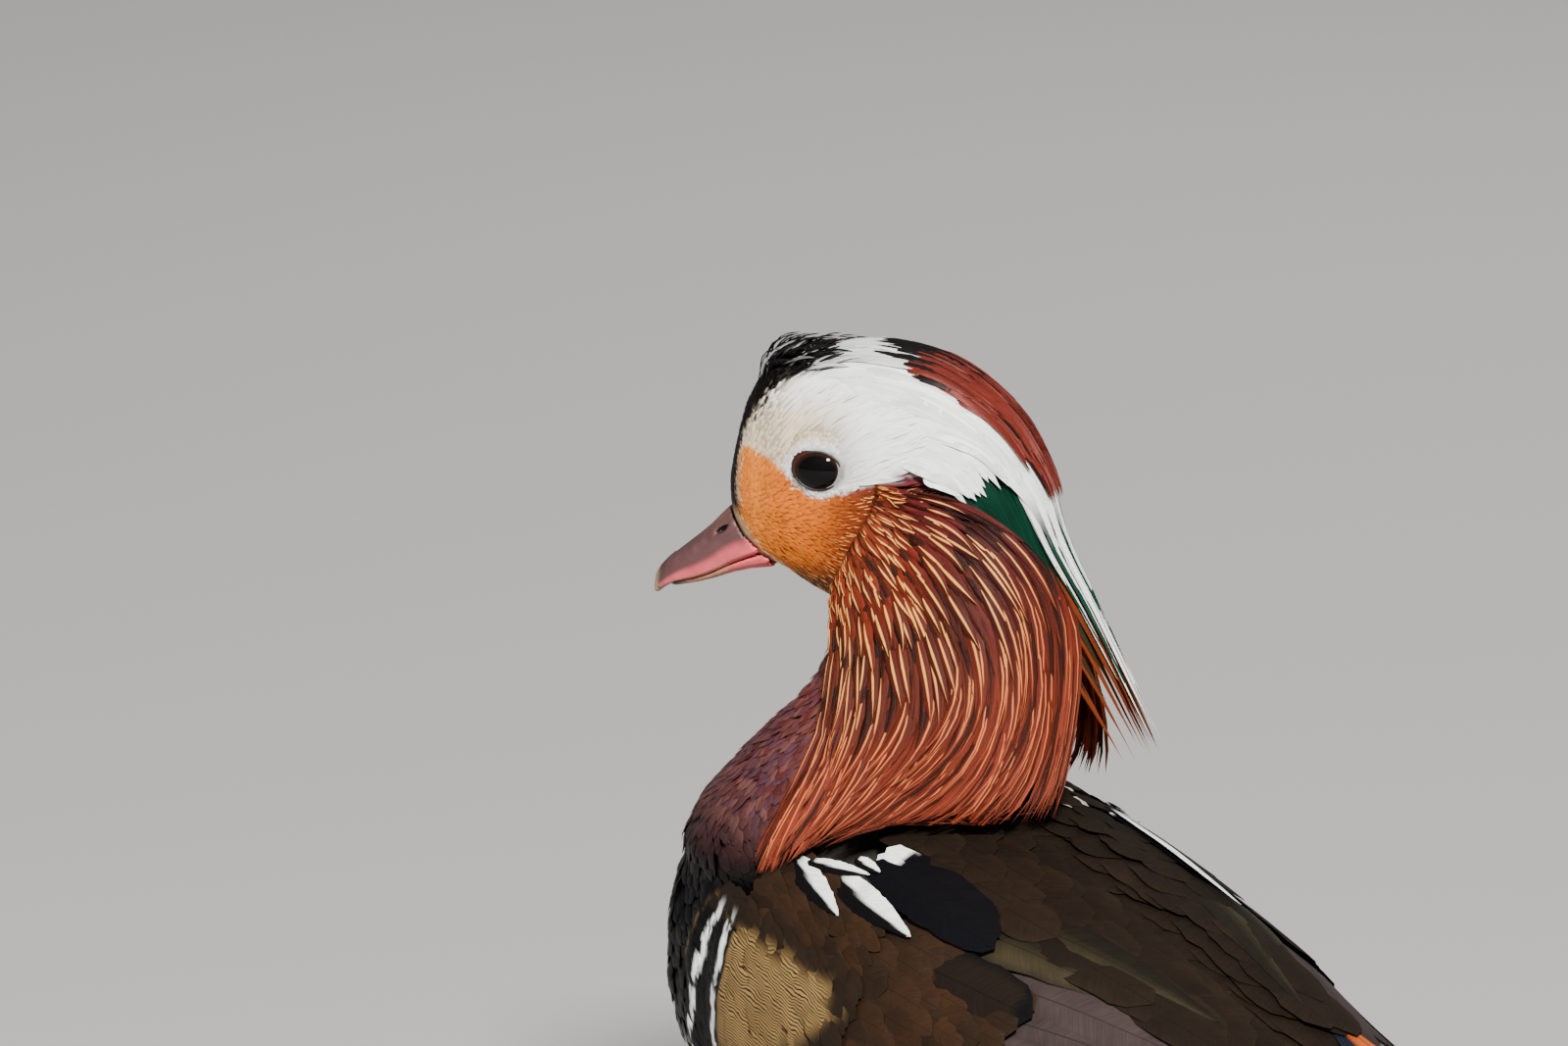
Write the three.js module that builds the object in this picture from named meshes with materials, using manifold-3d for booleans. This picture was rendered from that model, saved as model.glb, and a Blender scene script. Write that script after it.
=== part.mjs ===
// A still, life-size mandarin drake, standing with the head turned to its left. Millimetres, +Z up.
// The bird faces -Y, its left side is +X, and it stands on Z = 0.
import * as THREE from "three";
import { mergeVertices } from "three/addons/utils/BufferGeometryUtils.js";
import Module from "manifold-3d";

const wasm = await Module();
wasm.setup();

// Driving dimensions
const GAP = 0.3;
const BREAST_Y = -165;
const RUMP_Y = 88;
const BREAST_ROUND = 42;
const RUMP_ROUND = 26;
const BODY_SQUARENESS = 2.35;
const NECK_BASE_Z = 166;
const HEAD_AT = new THREE.Vector3(12, -117, 242);
const HEAD_TURN = THREE.MathUtils.degToRad(40);
const BILL_BASE = 12;
const BILL_TIP = 46.3;
const UNDERBILL_TIP = 42.6;
const NOSTRIL_AT = { f: 27.6, l: 5.5, z: -19.9 };
const NOSTRIL_LENGTH = 2.4;
const NOSTRIL_HEIGHT = 0.8;
const EYE_RADIUS = 6.9;
const EYE_SIDE = 12;
const LID_THICKNESS = 0.8;
const LID_OPENING = 5.4;
const LEG_SIDE = 25;
const FOOT_Y = -30;
const FOOT_TOP_Z = 6;
const TAIL_LENGTH = 105;
const TAIL_TIP_Y = 165;
const WING_FRONT_Y = -114;
const WING_TIP_Y = 128;
const WING_THICKNESS = 8;
const WING_CORE = 4.4;
const VANE_THICKNESS = 0.55;
const VANE_PITCH = 0.85;
const RUFF_LIFT = 1.6;
const WING_REAR_Y = 34;
const TAIL_SPREAD = 0.62;
const QUILL_DROOP = 0.007;
const SAIL_LEAN = -0.3;
const SAIL_CAMBER = 0.012;

// Makes a value that runs smoothly through stations [[at, value], ...] with no overshoot.
function through(stations) {
  const last = stations.length - 1;
  const slopes = [];
  for (let i = 0; i < last; i++) {
    const [x0, v0] = stations[i];
    const [x1, v1] = stations[i + 1];
    slopes.push((v1 - v0) / (x1 - x0));
  }
  const tangents = stations.map((_, i) => {
    if (i === 0) return slopes[0];
    if (i === last) return slopes[last - 1];
    const product = slopes[i - 1] * slopes[i];
    return product <= 0 ? 0 : (2 * product) / (slopes[i - 1] + slopes[i]);
  });
  return (x) => {
    if (x <= stations[0][0]) return stations[0][1];
    if (x >= stations[last][0]) return stations[last][1];
    let i = 0;
    while (x > stations[i + 1][0]) i++;
    const [x0, v0] = stations[i];
    const [x1, v1] = stations[i + 1];
    const span = x1 - x0;
    const t = (x - x0) / span;
    const rise = t * t * (3 - 2 * t);
    const leave = t * (1 - t) * (1 - t) * span * tangents[i];
    const arrive = t * t * (t - 1) * span * tangents[i + 1];
    return v0 + (v1 - v0) * rise + leave + arrive;
  };
}

const mix = (from, to, t) => from + (to - from) * t;
const rounded = (share) => Math.sqrt(Math.max(0, 1 - share * share));
const evenEnds = (t) => (1 - Math.cos(Math.PI * t)) / 2;
const power = (value, exponent) => Math.sign(value) * Math.abs(value) ** exponent;

// A closed skin bent from a sphere: place(t, angle) gives each point, t running from pole to pole.
// The two halves of the turn are split into triangles alike, so thin forms can curve.
function formed(around, along, place) {
  const geometry = new THREE.SphereGeometry(1, around, along);
  const { position } = geometry.attributes;
  const columns = around + 1;
  for (let i = 0; i < position.count; i++) {
    const t = Math.floor(i / columns) / along;
    const angle = (2 * Math.PI * ((i % columns) % around)) / around;
    position.setXYZ(i, ...place(t, angle).toArray());
  }
  const index = [];
  for (let row = 0; row < along; row++) {
    for (let column = 0; column < around; column++) {
      const a = row * columns + column + 1;
      const b = row * columns + column;
      const c = b + columns;
      const d = a + columns;
      const under = column >= around / 2;
      if (row === 0) index.push(b, c, d);
      else if (row === along - 1) index.push(a, b, d);
      else if (under) index.push(a, b, c, a, c, d);
      else index.push(a, b, d, b, c, d);
    }
  }
  geometry.setIndex(index);
  return solid(geometry);
}

// A closed slab bent from a box: place(u, v, w) gives each point, with w = 0 under and w = 1 on top.
function slab(across, along, place) {
  const geometry = new THREE.BoxGeometry(1, 1, 1, across, along, 1);
  const { position } = geometry.attributes;
  for (let i = 0; i < position.count; i++) {
    const at = [position.getX(i), position.getY(i), position.getZ(i)];
    position.setXYZ(i, ...place(...at.map((value) => value + 0.5)).toArray());
  }
  const index = Array.from(geometry.index.array);
  const under = geometry.groups[5];
  for (let i = under.start; i < under.start + under.count; i += 6) {
    const [a, b, d, , c] = index.slice(i, i + 6);
    index.splice(i, 6, a, b, c, a, c, d);
  }
  geometry.setIndex(index);
  return solid(geometry);
}

// Turns a closed geometry into a solid that can be joined and cut.
function solid(geometry) {
  geometry.deleteAttribute("normal");
  geometry.deleteAttribute("uv");
  const merged = mergeVertices(geometry);
  const triVerts = new Uint32Array(merged.index.array);
  const vertProperties = merged.attributes.position.array;
  const made = new wasm.Manifold(new wasm.Mesh({ numProp: 3, vertProperties, triVerts }));
  if (made.volume() > 0) return made;
  for (let i = 0; i < triVerts.length; i += 3) {
    [triVerts[i + 1], triVerts[i + 2]] = [triVerts[i + 2], triVerts[i + 1]];
  }
  return new wasm.Manifold(new wasm.Mesh({ numProp: 3, vertProperties, triVerts }));
}

// Keeps the largest closed surface of a solid.
function largest(form) {
  const bodies = form.decompose();
  return bodies.reduce((best, body) => (body.volume() > best.volume() ? body : best));
}

const part = new THREE.Group();

// Adds one named piece of the bird with its own finish.
function piece(name, form, color, roughness) {
  const { numProp, numVert, vertProperties, triVerts } = largest(form).getMesh();
  const points = new Float32Array(numVert * 3);
  for (let i = 0; i < numVert; i++) {
    points.set(vertProperties.subarray(i * numProp, i * numProp + 3), i * 3);
  }
  const geometry = new THREE.BufferGeometry();
  geometry.setAttribute("position", new THREE.BufferAttribute(points, 3));
  geometry.setIndex(new THREE.BufferAttribute(triVerts, 1));
  geometry.computeVertexNormals();
  const material = new THREE.MeshStandardMaterial({ color, roughness, metalness: 0 });
  const mesh = new THREE.Mesh(geometry, material);
  mesh.name = name;
  part.add(mesh);
}

// Body: heights of the back and the belly and the half width, by the distance along the bird.
const backZ = through([
  [-165, 159], [-130, 163], [-95, 160], [-55, 153], [0, 140.5], [48, 126.5], [88, 116], [130, 107],
]);
const bellyZ = through([
  [-165, 84], [-130, 66], [-90, 53], [-50, 47], [-10, 49], [30, 60], [60, 75], [88, 89], [130, 95],
]);
const bodyHalf = through([
  [-165, 48], [-130, 54], [-90, 55], [-40, 55], [0, 52], [40, 44], [88, 34], [130, 24],
]);

// A point of the body's surface; angle 0 is the middle of the back and a quarter turn the left side.
function bodyRing(y, angle) {
  const middle = (backZ(y) + bellyZ(y)) / 2;
  const rise = (backZ(y) - bellyZ(y)) / 2;
  const exponent = 2 / BODY_SQUARENESS;
  const x = bodyHalf(y) * power(Math.sin(angle), exponent);
  return new THREE.Vector3(x, y, middle + rise * power(Math.cos(angle), exponent));
}

function bodyNormal(y, angle) {
  const along = bodyRing(y + 1, angle).sub(bodyRing(y - 1, angle));
  const round = bodyRing(y, angle + 0.03).sub(bodyRing(y, angle - 0.03));
  return round.cross(along).normalize();
}

const onBody = (y, angle, out) =>
  bodyRing(y, angle).addScaledVector(bodyNormal(y, angle), out);

function torsoForm(grow) {
  return formed(22, 18, (t, angle) => {
    const y = mix(BREAST_Y - grow, RUMP_Y + grow, evenEnds(t));
    const front = Math.max(0, (BREAST_Y + BREAST_ROUND - y) / (BREAST_ROUND + grow));
    const rear = Math.max(0, (y - RUMP_Y + RUMP_ROUND) / (RUMP_ROUND + grow));
    const middle = new THREE.Vector3(0, y, (backZ(y) + bellyZ(y)) / 2);
    const share = t === 0 || t === 1 ? 0 : rounded(Math.max(front, rear));
    return onBody(y, angle, grow).sub(middle).multiplyScalar(share).add(middle).setY(y);
  });
}

// Neck: an upright form that flares into the breast.
const NECK_FOOT_Z = 110;
const NECK_TOP_Z = 238;
const neckX = through([[NECK_FOOT_Z, 2], [140, 4], [165, 4], [190, 0], [215, -1], [NECK_TOP_Z, 2]]);
const neckY = through([
  [NECK_FOOT_Z, -108], [140, -112], [165, -106], [190, -100], [215, -99], [NECK_TOP_Z, -103],
]);
const neckRadius = through([
  [NECK_FOOT_Z, 26], [120, 40], [131, 46.5], [142, 48.5], [151, 46.5], [160, 41], [170, 34], [180, 27],
  [190, 22.5], [200, 20.5], [215, 20], [NECK_TOP_Z, 18],
]);

function neckForm(grow) {
  return formed(20, 15, (t, angle) => {
    const z = mix(NECK_FOOT_Z - grow, NECK_TOP_Z + grow, t);
    const radius = t === 0 || t === 1 ? 0 : neckRadius(z) + grow;
    const x = neckX(z) + radius * Math.sin(angle);
    return new THREE.Vector3(x, neckY(z) + radius * Math.cos(angle), z);
  });
}

// Head frame: f forward along the bill, l to the bird's left, z up from the level of the eyes.
const headForward = new THREE.Vector3(Math.sin(HEAD_TURN), -Math.cos(HEAD_TURN), 0);
const headLeft = new THREE.Vector3(Math.cos(HEAD_TURN), Math.sin(HEAD_TURN), 0);

function inHead(f, l, z) {
  const spot = HEAD_AT.clone().addScaledVector(headForward, f).addScaledVector(headLeft, l);
  return spot.setZ(HEAD_AT.z + z);
}

const HEAD_FRONT = 27;
const HEAD_REAR = -46;
const crownZ = through([[-46, 7], [-25, 20.5], [-12, 25], [0, 26.5], [13, 25.5], [20, 19], [27, 3]]);
const chinZ = through([[-46, -28], [-25, -40], [-12, -41], [0, -36.7], [13, -30], [20, -27.5], [27, -24]]);
const headHalf = through([[-46, 15], [-25, 19], [-12, 19.5], [0, 17.5], [13, 14.5], [20, 12], [27, 10]]);

function headForm(grow) {
  return formed(20, 18, (t, angle) => {
    const f = mix(HEAD_FRONT + grow, HEAD_REAR - grow, evenEnds(t));
    const front = Math.max(0, (f - HEAD_FRONT + 8) / (8 + grow));
    const rear = Math.max(0, (HEAD_REAR + 26 - f) / (26 + grow));
    const share = t === 0 || t === 1 ? 0 : rounded(Math.max(front, rear));
    const middle = (crownZ(f) + chinZ(f)) / 2;
    const rise = (crownZ(f) - chinZ(f)) / 2 + grow;
    const across = (headHalf(f) + grow) * power(Math.sin(angle), 0.92);
    return inHead(f, share * across, middle + share * rise * power(Math.cos(angle), 0.92));
  });
}

// Eyes and lids
const ball = (radius, f, l, z, segments = 14) =>
  formed(segments, segments / 2, (t, angle) => {
    const ring = radius * Math.sin(Math.PI * t);
    const reach = radius * Math.cos(Math.PI * t);
    return inHead(f + ring * Math.cos(angle), l + reach, z + ring * Math.sin(angle));
  });

function lidOpening(side) {
  return formed(14, 3, (t, angle) => {
    const open = t === 0 || t === 1 ? 0 : LID_OPENING;
    const l = side * mix(EYE_SIDE, EYE_SIDE + 12, t);
    return inHead(open * Math.cos(angle), l, 0.92 * open * Math.sin(angle));
  });
}

// Bill: culmen, cutting edge and half width by the distance forward.
const culmenZ = through([
  [12, -8], [25, -13], [31, -19.3], [36, -23.8], [41, -28], [44, -31], [46.3, -34.5],
]);
const gapeZ = through([
  [12, -23.4], [21, -26.6], [26, -28.8], [30, -31], [35, -32.9], [40, -34.2], [43.5, -35.9], [46.3, -38.6],
]);
const billHalf = through([[12, 8.8], [22, 8.2], [30, 7], [38, 6.2], [43, 5.2], [46.3, 3]]);
const underbillZ = through([[10, -29], [22, -30.4], [29, -32.8], [35, -34.7], [41, -36.1], [43, -36.9]]);

function upperBill() {
  return formed(14, 12, (t, angle) => {
    const f = mix(BILL_BASE, BILL_TIP, 1 - (1 - t) ** 1.6);
    const share = t === 0 || t === 1 ? 0 : rounded(Math.max(0, (f - BILL_TIP + 4.3) / 4.3));
    const across = billHalf(f) * power(Math.cos(angle), 0.85) * share;
    const lift = Math.sin(angle);
    const base = gapeZ(f);
    const rise = culmenZ(f) - base;
    const z = base + rise * (lift > 0 ? mix(0.12, 1, power(lift, 0.9)) : 0.12 * (1 + lift));
    return inHead(f, across, mix(base + rise * 0.3, z, share === 0 ? 0 : 1));
  });
}

function lowerBill() {
  return formed(12, 8, (t, angle) => {
    const f = mix(BILL_BASE - 2, UNDERBILL_TIP, 1 - (1 - t) ** 1.4);
    const share = t === 0 || t === 1 ? 0 : rounded(Math.max(0, (f - UNDERBILL_TIP + 4) / 4));
    const top = gapeZ(f) - GAP;
    const across = (billHalf(f) - 1.3) * Math.cos(angle) * share;
    const depth = top - underbillZ(f);
    const z = top - depth * (Math.sin(angle) > 0 ? 0 : -Math.sin(angle));
    return inHead(f, across, share === 0 ? top - depth * 0.4 : z);
  });
}

function nostril(side) {
  return formed(8, 6, (t, angle) => {
    const ring = Math.sin(Math.PI * t);
    const along = NOSTRIL_LENGTH * Math.cos(Math.PI * t);
    const across = 1.6 * ring * Math.cos(angle);
    const drop = 0.8 * along - NOSTRIL_HEIGHT * ring * Math.sin(angle);
    return inHead(NOSTRIL_AT.f + along, side * NOSTRIL_AT.l + across, NOSTRIL_AT.z - drop);
  });
}

// Places where a lock or feather would sink into the neck or the back are lifted clear of them.
function bodyTop(x, y) {
  const share = Math.min(0.98, Math.abs(x) / bodyHalf(y));
  const front = Math.max(0, (BREAST_Y + BREAST_ROUND - y) / BREAST_ROUND);
  const middle = (backZ(y) + bellyZ(y)) / 2;
  const rise = (backZ(y) - bellyZ(y)) / 2;
  const height = (1 - share ** BODY_SQUARENESS) ** (1 / BODY_SQUARENESS);
  return front >= 1 ? -Infinity : middle + rise * height * rounded(front);
}

function clear(spot, lift) {
  const cover = THREE.MathUtils.smoothstep(spot.y, WING_FRONT_Y - 6, WING_FRONT_Y + 20) * WING_THICKNESS;
  const made = spot.clone();
  made.z = Math.max(made.z, bodyTop(made.x, made.y) + cover + lift);
  const away = new THREE.Vector3(made.x - neckX(made.z), made.y - neckY(made.z), 0);
  const least = neckRadius(made.z) + lift;
  if (made.z < NECK_TOP_Z - 2 && away.length() < least) {
    away.setLength(least);
    made.x = neckX(made.z) + away.x;
    made.y = neckY(made.z) + away.y;
  }
  return made;
}

// A repeatable series of draws between 0 and 1.
function seeded(seed) {
  let state = seed;
  return () => {
    state = (state * 16807) % 2147483647;
    return state / 2147483647;
  };
}

// Lifts a surface: base(p, s) gives its points, and the lift runs along its own normal.
function lifted(base, facing) {
  const step = 0.02;
  return (p, s, out) => {
    const ends = [Math.max(0, s - step), Math.min(1, s + step)];
    const across = base(p + step, s).sub(base(p - step, s));
    const along = base(p, ends[1]).sub(base(p, ends[0]));
    return base(p, s).addScaledVector(across.cross(along).normalize(), facing * out);
  };
}

// A tier of overlapping vanes on a surface, where spot(p, s, out) gives each point: p across the
// tier, s along the vanes and out above the surface. Each vane lies one pitch above the next one,
// or, in a mirrored tier, above the next one away from the middle.
function tier({ spot, count, start, end, base, wide, shape, seed, steps = 5, mirrored = false, over = 1 }) {
  const random = seeded(seed);
  const step = 1 / count;
  const centre = (count - 1) / 2;
  const vanes = [];
  for (let i = 0; i < count; i++) {
    const nominal = step * (i + 0.5);
    const middle = nominal + step * 0.24 * (random() - 0.5);
    const from = start(middle);
    const to = mix(from, end(middle), mix(0.93, 1, random()));
    const slope = (p) => {
      const place = p / step - 0.5;
      return mirrored ? Math.abs(place - centre) - Math.abs(i - centre) : place - i;
    };
    const vane = formed(4, steps, (t, angle) => {
      const pole = t === 0 || t === 1 ? 0 : 1;
      const half = pole * 0.5 * wide * step * shape(t);
      const p = middle + half * Math.sign(Math.cos(angle + Math.PI / 4));
      const face = pole * 0.5 * VANE_THICKNESS * Math.sign(Math.sin(angle + Math.PI / 4));
      return spot(p, mix(from, to, t), base(t) + over * VANE_PITCH * slope(p) + face);
    });
    vanes.push(vane);
  }
  return vanes;
}

const blunt = through([[0, 0.5], [0.35, 0.95], [0.6, 1], [0.83, 0.86], [1, 0.4]]);
const pointed = through([[0, 0.5], [0.3, 1], [0.6, 0.92], [0.83, 0.55], [1, 0.2]]);
const joined = (core, ...tiers) => tiers.flat().reduce((form, vane) => form.add(vane), core);

// Ruff: guide lines of its locks in the head frame, from the throat (0) to the nape (1).
const RUFF_GUIDES = {
  left: [
    { at: 0, line: [[-3, 13, -30], [-6, 20, -44], [-4, 31, -69], [9, 43, -97]] },
    { at: 0.2, line: [[-7, 17, -22], [-14, 25, -44], [-14, 36, -68.5], [-8, 48, -93]] },
    { at: 0.4, line: [[-11, 19, -15], [-26, 28, -38], [-31, 38, -63.5], [-28, 49, -88]] },
    { at: 0.6, line: [[-14, 19, -10], [-36, 28, -27], [-48, 36, -54], [-49, 45, -85]] },
    { at: 0.8, line: [[-15, 19, -6], [-42, 27, -14], [-58, 30, -42], [-62, 34, -82]] },
    { at: 1, line: [[-15, 18, -2], [-43, 24, -5], [-63, 22, -25], [-70, 17, -60]] },
  ],
  right: [
    { at: 0, line: [[-3, -13, -30], [-8, -19, -44], [-4, -27, -70], [6, -36, -95]] },
    { at: 0.2, line: [[-7, -17, -22], [-14, -24, -44], [-13, -31, -68], [-8, -40, -93]] },
    { at: 0.4, line: [[-11, -18, -15], [-22, -26, -38], [-24, -32, -64], [-22, -42, -91]] },
    { at: 0.6, line: [[-14, -18, -10], [-30, -25, -27], [-37, -30, -54], [-40, -38, -90]] },
    { at: 0.8, line: [[-15, -18, -6], [-35, -24, -16], [-45, -27, -44], [-56, -32, -89]] },
    { at: 1, line: [[-15, -18, -2], [-37, -22, -8], [-50, -22, -35], [-70, -24, -87]] },
  ],
};

function ruffSpot(side) {
  const guides = side > 0 ? RUFF_GUIDES.left : RUFF_GUIDES.right;
  const control = [0, 1, 2, 3].map((step) =>
    [0, 1, 2].map((axis) => through(guides.map(({ at, line }) => [at, line[step][axis]]))),
  );
  const base = (c, s) => {
    const points = control.map(([f, l, z]) => inHead(f(c), l(c), z(c)));
    return clear(new THREE.CatmullRomCurve3(points).getPoint(s), RUFF_LIFT);
  };
  return lifted(base, -side);
}

function ruff(side) {
  const spot = ruffSpot(side);
  const core = slab(7, 4, (u, v, w) => {
    const s = mix(0.5, 0.03, v);
    const rim = 0.4 + 0.6 * Math.sin(Math.PI * mix(0.12, 0.88, u));
    return spot(mix(0.03, 0.97, u), s, mix(-1.2, mix(0.4, 3.2, v) * rim, w));
  });
  const under = tier({
    spot, count: 14, seed: 11, wide: 1.45, shape: pointed,
    start: () => 0.22, end: () => 1, base: through([[0, 0.6], [0.3, 1], [1, 1]]),
  });
  const upper = tier({
    spot, count: 10, seed: 23, wide: 1.35, shape: pointed,
    start: () => 0.06, end: (c) => mix(0.8, 0.68, c), base: through([[0, 1], [0.4, 2.8], [1, 2.9]]),
  });
  return joined(core, under, upper);
}

// Crest: the line of its outer feathers over the crown and down behind the nape.
const CREST_LINE = new THREE.CatmullRomCurve3(
  [[8, 30], [-12, 31.5], [-31, 27], [-47, 15], [-56, 0], [-61, -17], [-70, -36], [-86, -70]].map(
    ([f, z]) => new THREE.Vector3(f, 0, z),
  ),
);
const crestHalf = through([[0, 12], [0.2, 17], [0.5, 17], [0.75, 13], [1, 8]]);
const crestDepth = through([[0, 4.6], [0.15, 3.8], [0.5, 3], [1, 2.6]]);

function crestBase(p, s) {
  const spot = CREST_LINE.getPoint(s);
  const tangent = CREST_LINE.getTangent(s);
  const across = (p - 0.5) * 2;
  const depth = crestDepth(s) + crestHalf(s) * 0.62 * across * across;
  spot.x -= depth * tangent.z;
  spot.z += depth * tangent.x;
  return inHead(spot.x, across * crestHalf(s), spot.z);
}

function crest() {
  const spot = lifted(crestBase, -1);
  const core = slab(6, 6, (u, v, w) => {
    const s = mix(0.5, 0.02, v);
    const rim = 0.3 + 0.7 * Math.sin(Math.PI * mix(0.1, 0.9, u));
    return spot(mix(0.04, 0.96, u), s, mix(-2, mix(1, 2.6, v) * rim, w));
  });
  const plumes = tier({
    spot, count: 10, seed: 5, wide: 1.5, shape: pointed, mirrored: true,
    start: (p) => mix(0.3, 0.42, Math.abs(p - 0.5)), end: (p) => mix(1, 0.84, Math.abs(p - 0.5) * 2),
    base: through([[0, 0.2], [0.3, 1.4], [1, 1]]),
  });
  const ridge = tier({
    spot: (p, s, out) => spot(mix(0.24, 0.76, p), s, out), count: 5, seed: 7, wide: 1.5,
    shape: pointed, mirrored: true, start: () => 0.14, end: () => 0.74,
    base: through([[0, 0.6], [0.3, 3.3], [1, 3.2]]),
  });
  const tufts = tier({
    spot, count: 7, seed: 9, wide: 1.4, shape: pointed, mirrored: true,
    start: () => 0.03, end: (p) => mix(0.34, 0.42, Math.abs(p - 0.5)),
    base: through([[0, 0.4], [0.5, 3.8], [1, 4.9]]),
  });
  return joined(core, plumes, ridge, tufts);
}

// Wings: folded against the sides. A tract is laid out between four corners, each a distance
// along the bird and a turn down from the middle of the back.
const wingUpper = through([[-114, 0.9], [-90, 0.35], [-50, 0.14], [40, 0.16]]);
const wingLower = through([[-114, 1.2], [-90, 1.72], [-40, 1.88], [32, 1.3]]);
const WING_TRACTS = {
  primaries: { root: [[2, 1.28], [6, 1]], tip: [[WING_TIP_Y, 0.68], [94, 0.42]] },
  secondaries: { root: [[-48, 1.74], [-12, 1.2]], tip: [[44, 1.56], [78, 0.98]] },
  tertials: { root: [[-30, 1.15], [-22, 0.5]], tip: [[78, 0.9], [92, 0.42]] },
  greater: { root: [[-88, 1.74], [-60, 1]], tip: [[2, 1.72], [14, 0.98]] },
  median: { root: [[-104, 1.45], [-94, 0.8]], tip: [[-46, 1.66], [-34, 0.84]] },
  scapulars: { root: [[-106, 0.88], [-98, 0.14]], tip: [[20, 0.74], [44, 0.17]] },
};

function wingSpot(side, { root, tip }) {
  const at = (p, s, axis) =>
    mix(mix(root[0][axis], tip[0][axis], s), mix(root[1][axis], tip[1][axis], s), p);
  return (p, s, out) => onBody(at(p, s, 0), side * at(p, s, 1), out);
}

// The sail is the broad inmost feather of the wing, here laid low over the rump, tip curled up.
function sail(side, shift, breadth, rise) {
  const line = new THREE.CatmullRomCurve3([
    onBody(-4, 0.34, 2.6),
    onBody(34, 0.4, 5.6),
    new THREE.Vector3(18 + shift, 70, 126.5 + rise),
    new THREE.Vector3(20 + shift, 102, 125.5 + rise),
    new THREE.Vector3(18 + shift, 133, 131.5 + rise),
  ]);
  const width = through([[0, 0.15], [0.35, 0.3], [0.62, 0.9], [0.85, 1], [1, 0.55]]);
  return formed(6, 8, (t, angle) => {
    const spot = line.getPoint(1 - (1 - t) ** 1.2);
    const pole = t === 0 || t === 1 ? 0 : 1;
    const across = pole * breadth * width(t) * Math.cos(angle);
    const camber = SAIL_CAMBER * across * across;
    spot.x += across * Math.cos(SAIL_LEAN);
    spot.z += across * Math.sin(SAIL_LEAN) - camber + pole * 0.7 * Math.sin(angle);
    spot.x *= side;
    return spot;
  });
}

function wing(side) {
  const core = formed(12, 11, (t, angle) => {
    const y = mix(WING_FRONT_Y, WING_REAR_Y, evenEnds(t));
    const pole = t === 0 || t === 1 ? 0 : 1;
    const turn = mix(wingUpper(y), wingLower(y), (1 - pole * Math.cos(angle)) / 2);
    const rise = pole * Math.sin(angle);
    return onBody(y, side * turn, rise * (rise > 0 ? mix(WING_CORE, 1.5, t * t) : 2.5));
  });
  const laid = (name, tract) =>
    tier({ spot: wingSpot(side, WING_TRACTS[name]), start: () => 0, end: () => 1, ...tract });
  return joined(
    core,
    laid("primaries", {
      count: 5, seed: 31, wide: 1.7, shape: pointed, base: through([[0, 1], [1, 1.4]]),
    }),
    laid("secondaries", {
      count: 6, seed: 37, wide: 1.5, shape: blunt, base: through([[0, 1.2], [0.3, 3.1], [1, 3.3]]),
    }),
    laid("tertials", {
      count: 4, seed: 41, wide: 1.45, shape: blunt, base: through([[0, 2], [0.3, 5], [1, 5.2]]),
    }),
    laid("greater", {
      count: 7, seed: 43, wide: 1.5, shape: blunt, base: through([[0, 2], [0.35, 4.6], [1, 5.2]]),
    }),
    laid("median", {
      count: 6, seed: 47, wide: 1.5, shape: blunt, base: through([[0, 2], [0.5, 5.2], [1, 6.2]]),
    }),
    laid("scapulars", {
      count: 6, seed: 53, wide: 1.5, shape: pointed,
      base: through([[0, 2.6], [0.3, 8.6], [0.7, 8.6], [1, 7]]),
    }),
    [sail(side, 0, 15, 0), sail(side, 3, 9, -3)],
  );
}

// Tail: a fan of quills with coverts above and below.
function tailSpot(p, s, out) {
  const angle = (p - 0.5) * TAIL_SPREAD;
  const reach = mix(10, TAIL_LENGTH - 34 * Math.abs(p - 0.5) ** 1.5, s);
  const x = reach * Math.sin(angle);
  const y = TAIL_TIP_Y - TAIL_LENGTH + reach * Math.cos(angle);
  return new THREE.Vector3(x, y, mix(104.5, 98.5, s) - QUILL_DROOP * x * x + out);
}

function tail() {
  const core = formed(12, 7, (t, angle) => {
    const share = t === 0 || t === 1 ? 0 : Math.sin(Math.PI * mix(0.2, 1, t)) ** 0.7;
    const y = mix(62, 118, t);
    const z = mix(104, 100.5, t) + 7.5 * share * Math.cos(angle);
    return new THREE.Vector3(17 * share * Math.sin(angle), y, z);
  });
  const quills = tier({
    spot: tailSpot, count: 12, seed: 61, wide: 1.6, shape: blunt, mirrored: true,
    start: () => 0.25, end: () => 1, base: () => 0,
  });
  const above = tier({
    spot: (p, s, out) => tailSpot(mix(0.2, 0.8, p), s, out), count: 5, seed: 67, wide: 1.5, shape: pointed,
    mirrored: true, start: () => 0.15, end: (p) => mix(0.68, 0.58, Math.abs(p - 0.5)),
    base: through([[0, 1.5], [0.5, 3.6], [1, 2.4]]),
  });
  const below = tier({
    spot: (p, s, out) => tailSpot(mix(0.14, 0.86, p), s, out), count: 5, seed: 71, wide: 1.5, shape: pointed,
    mirrored: true, over: -1, start: () => 0.15, end: (p) => mix(0.7, 0.6, Math.abs(p - 0.5)),
    base: through([[0, -2], [0.5, -6.5], [1, -6.5]]),
  });
  return joined(core, quills, above, below);
}

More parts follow.
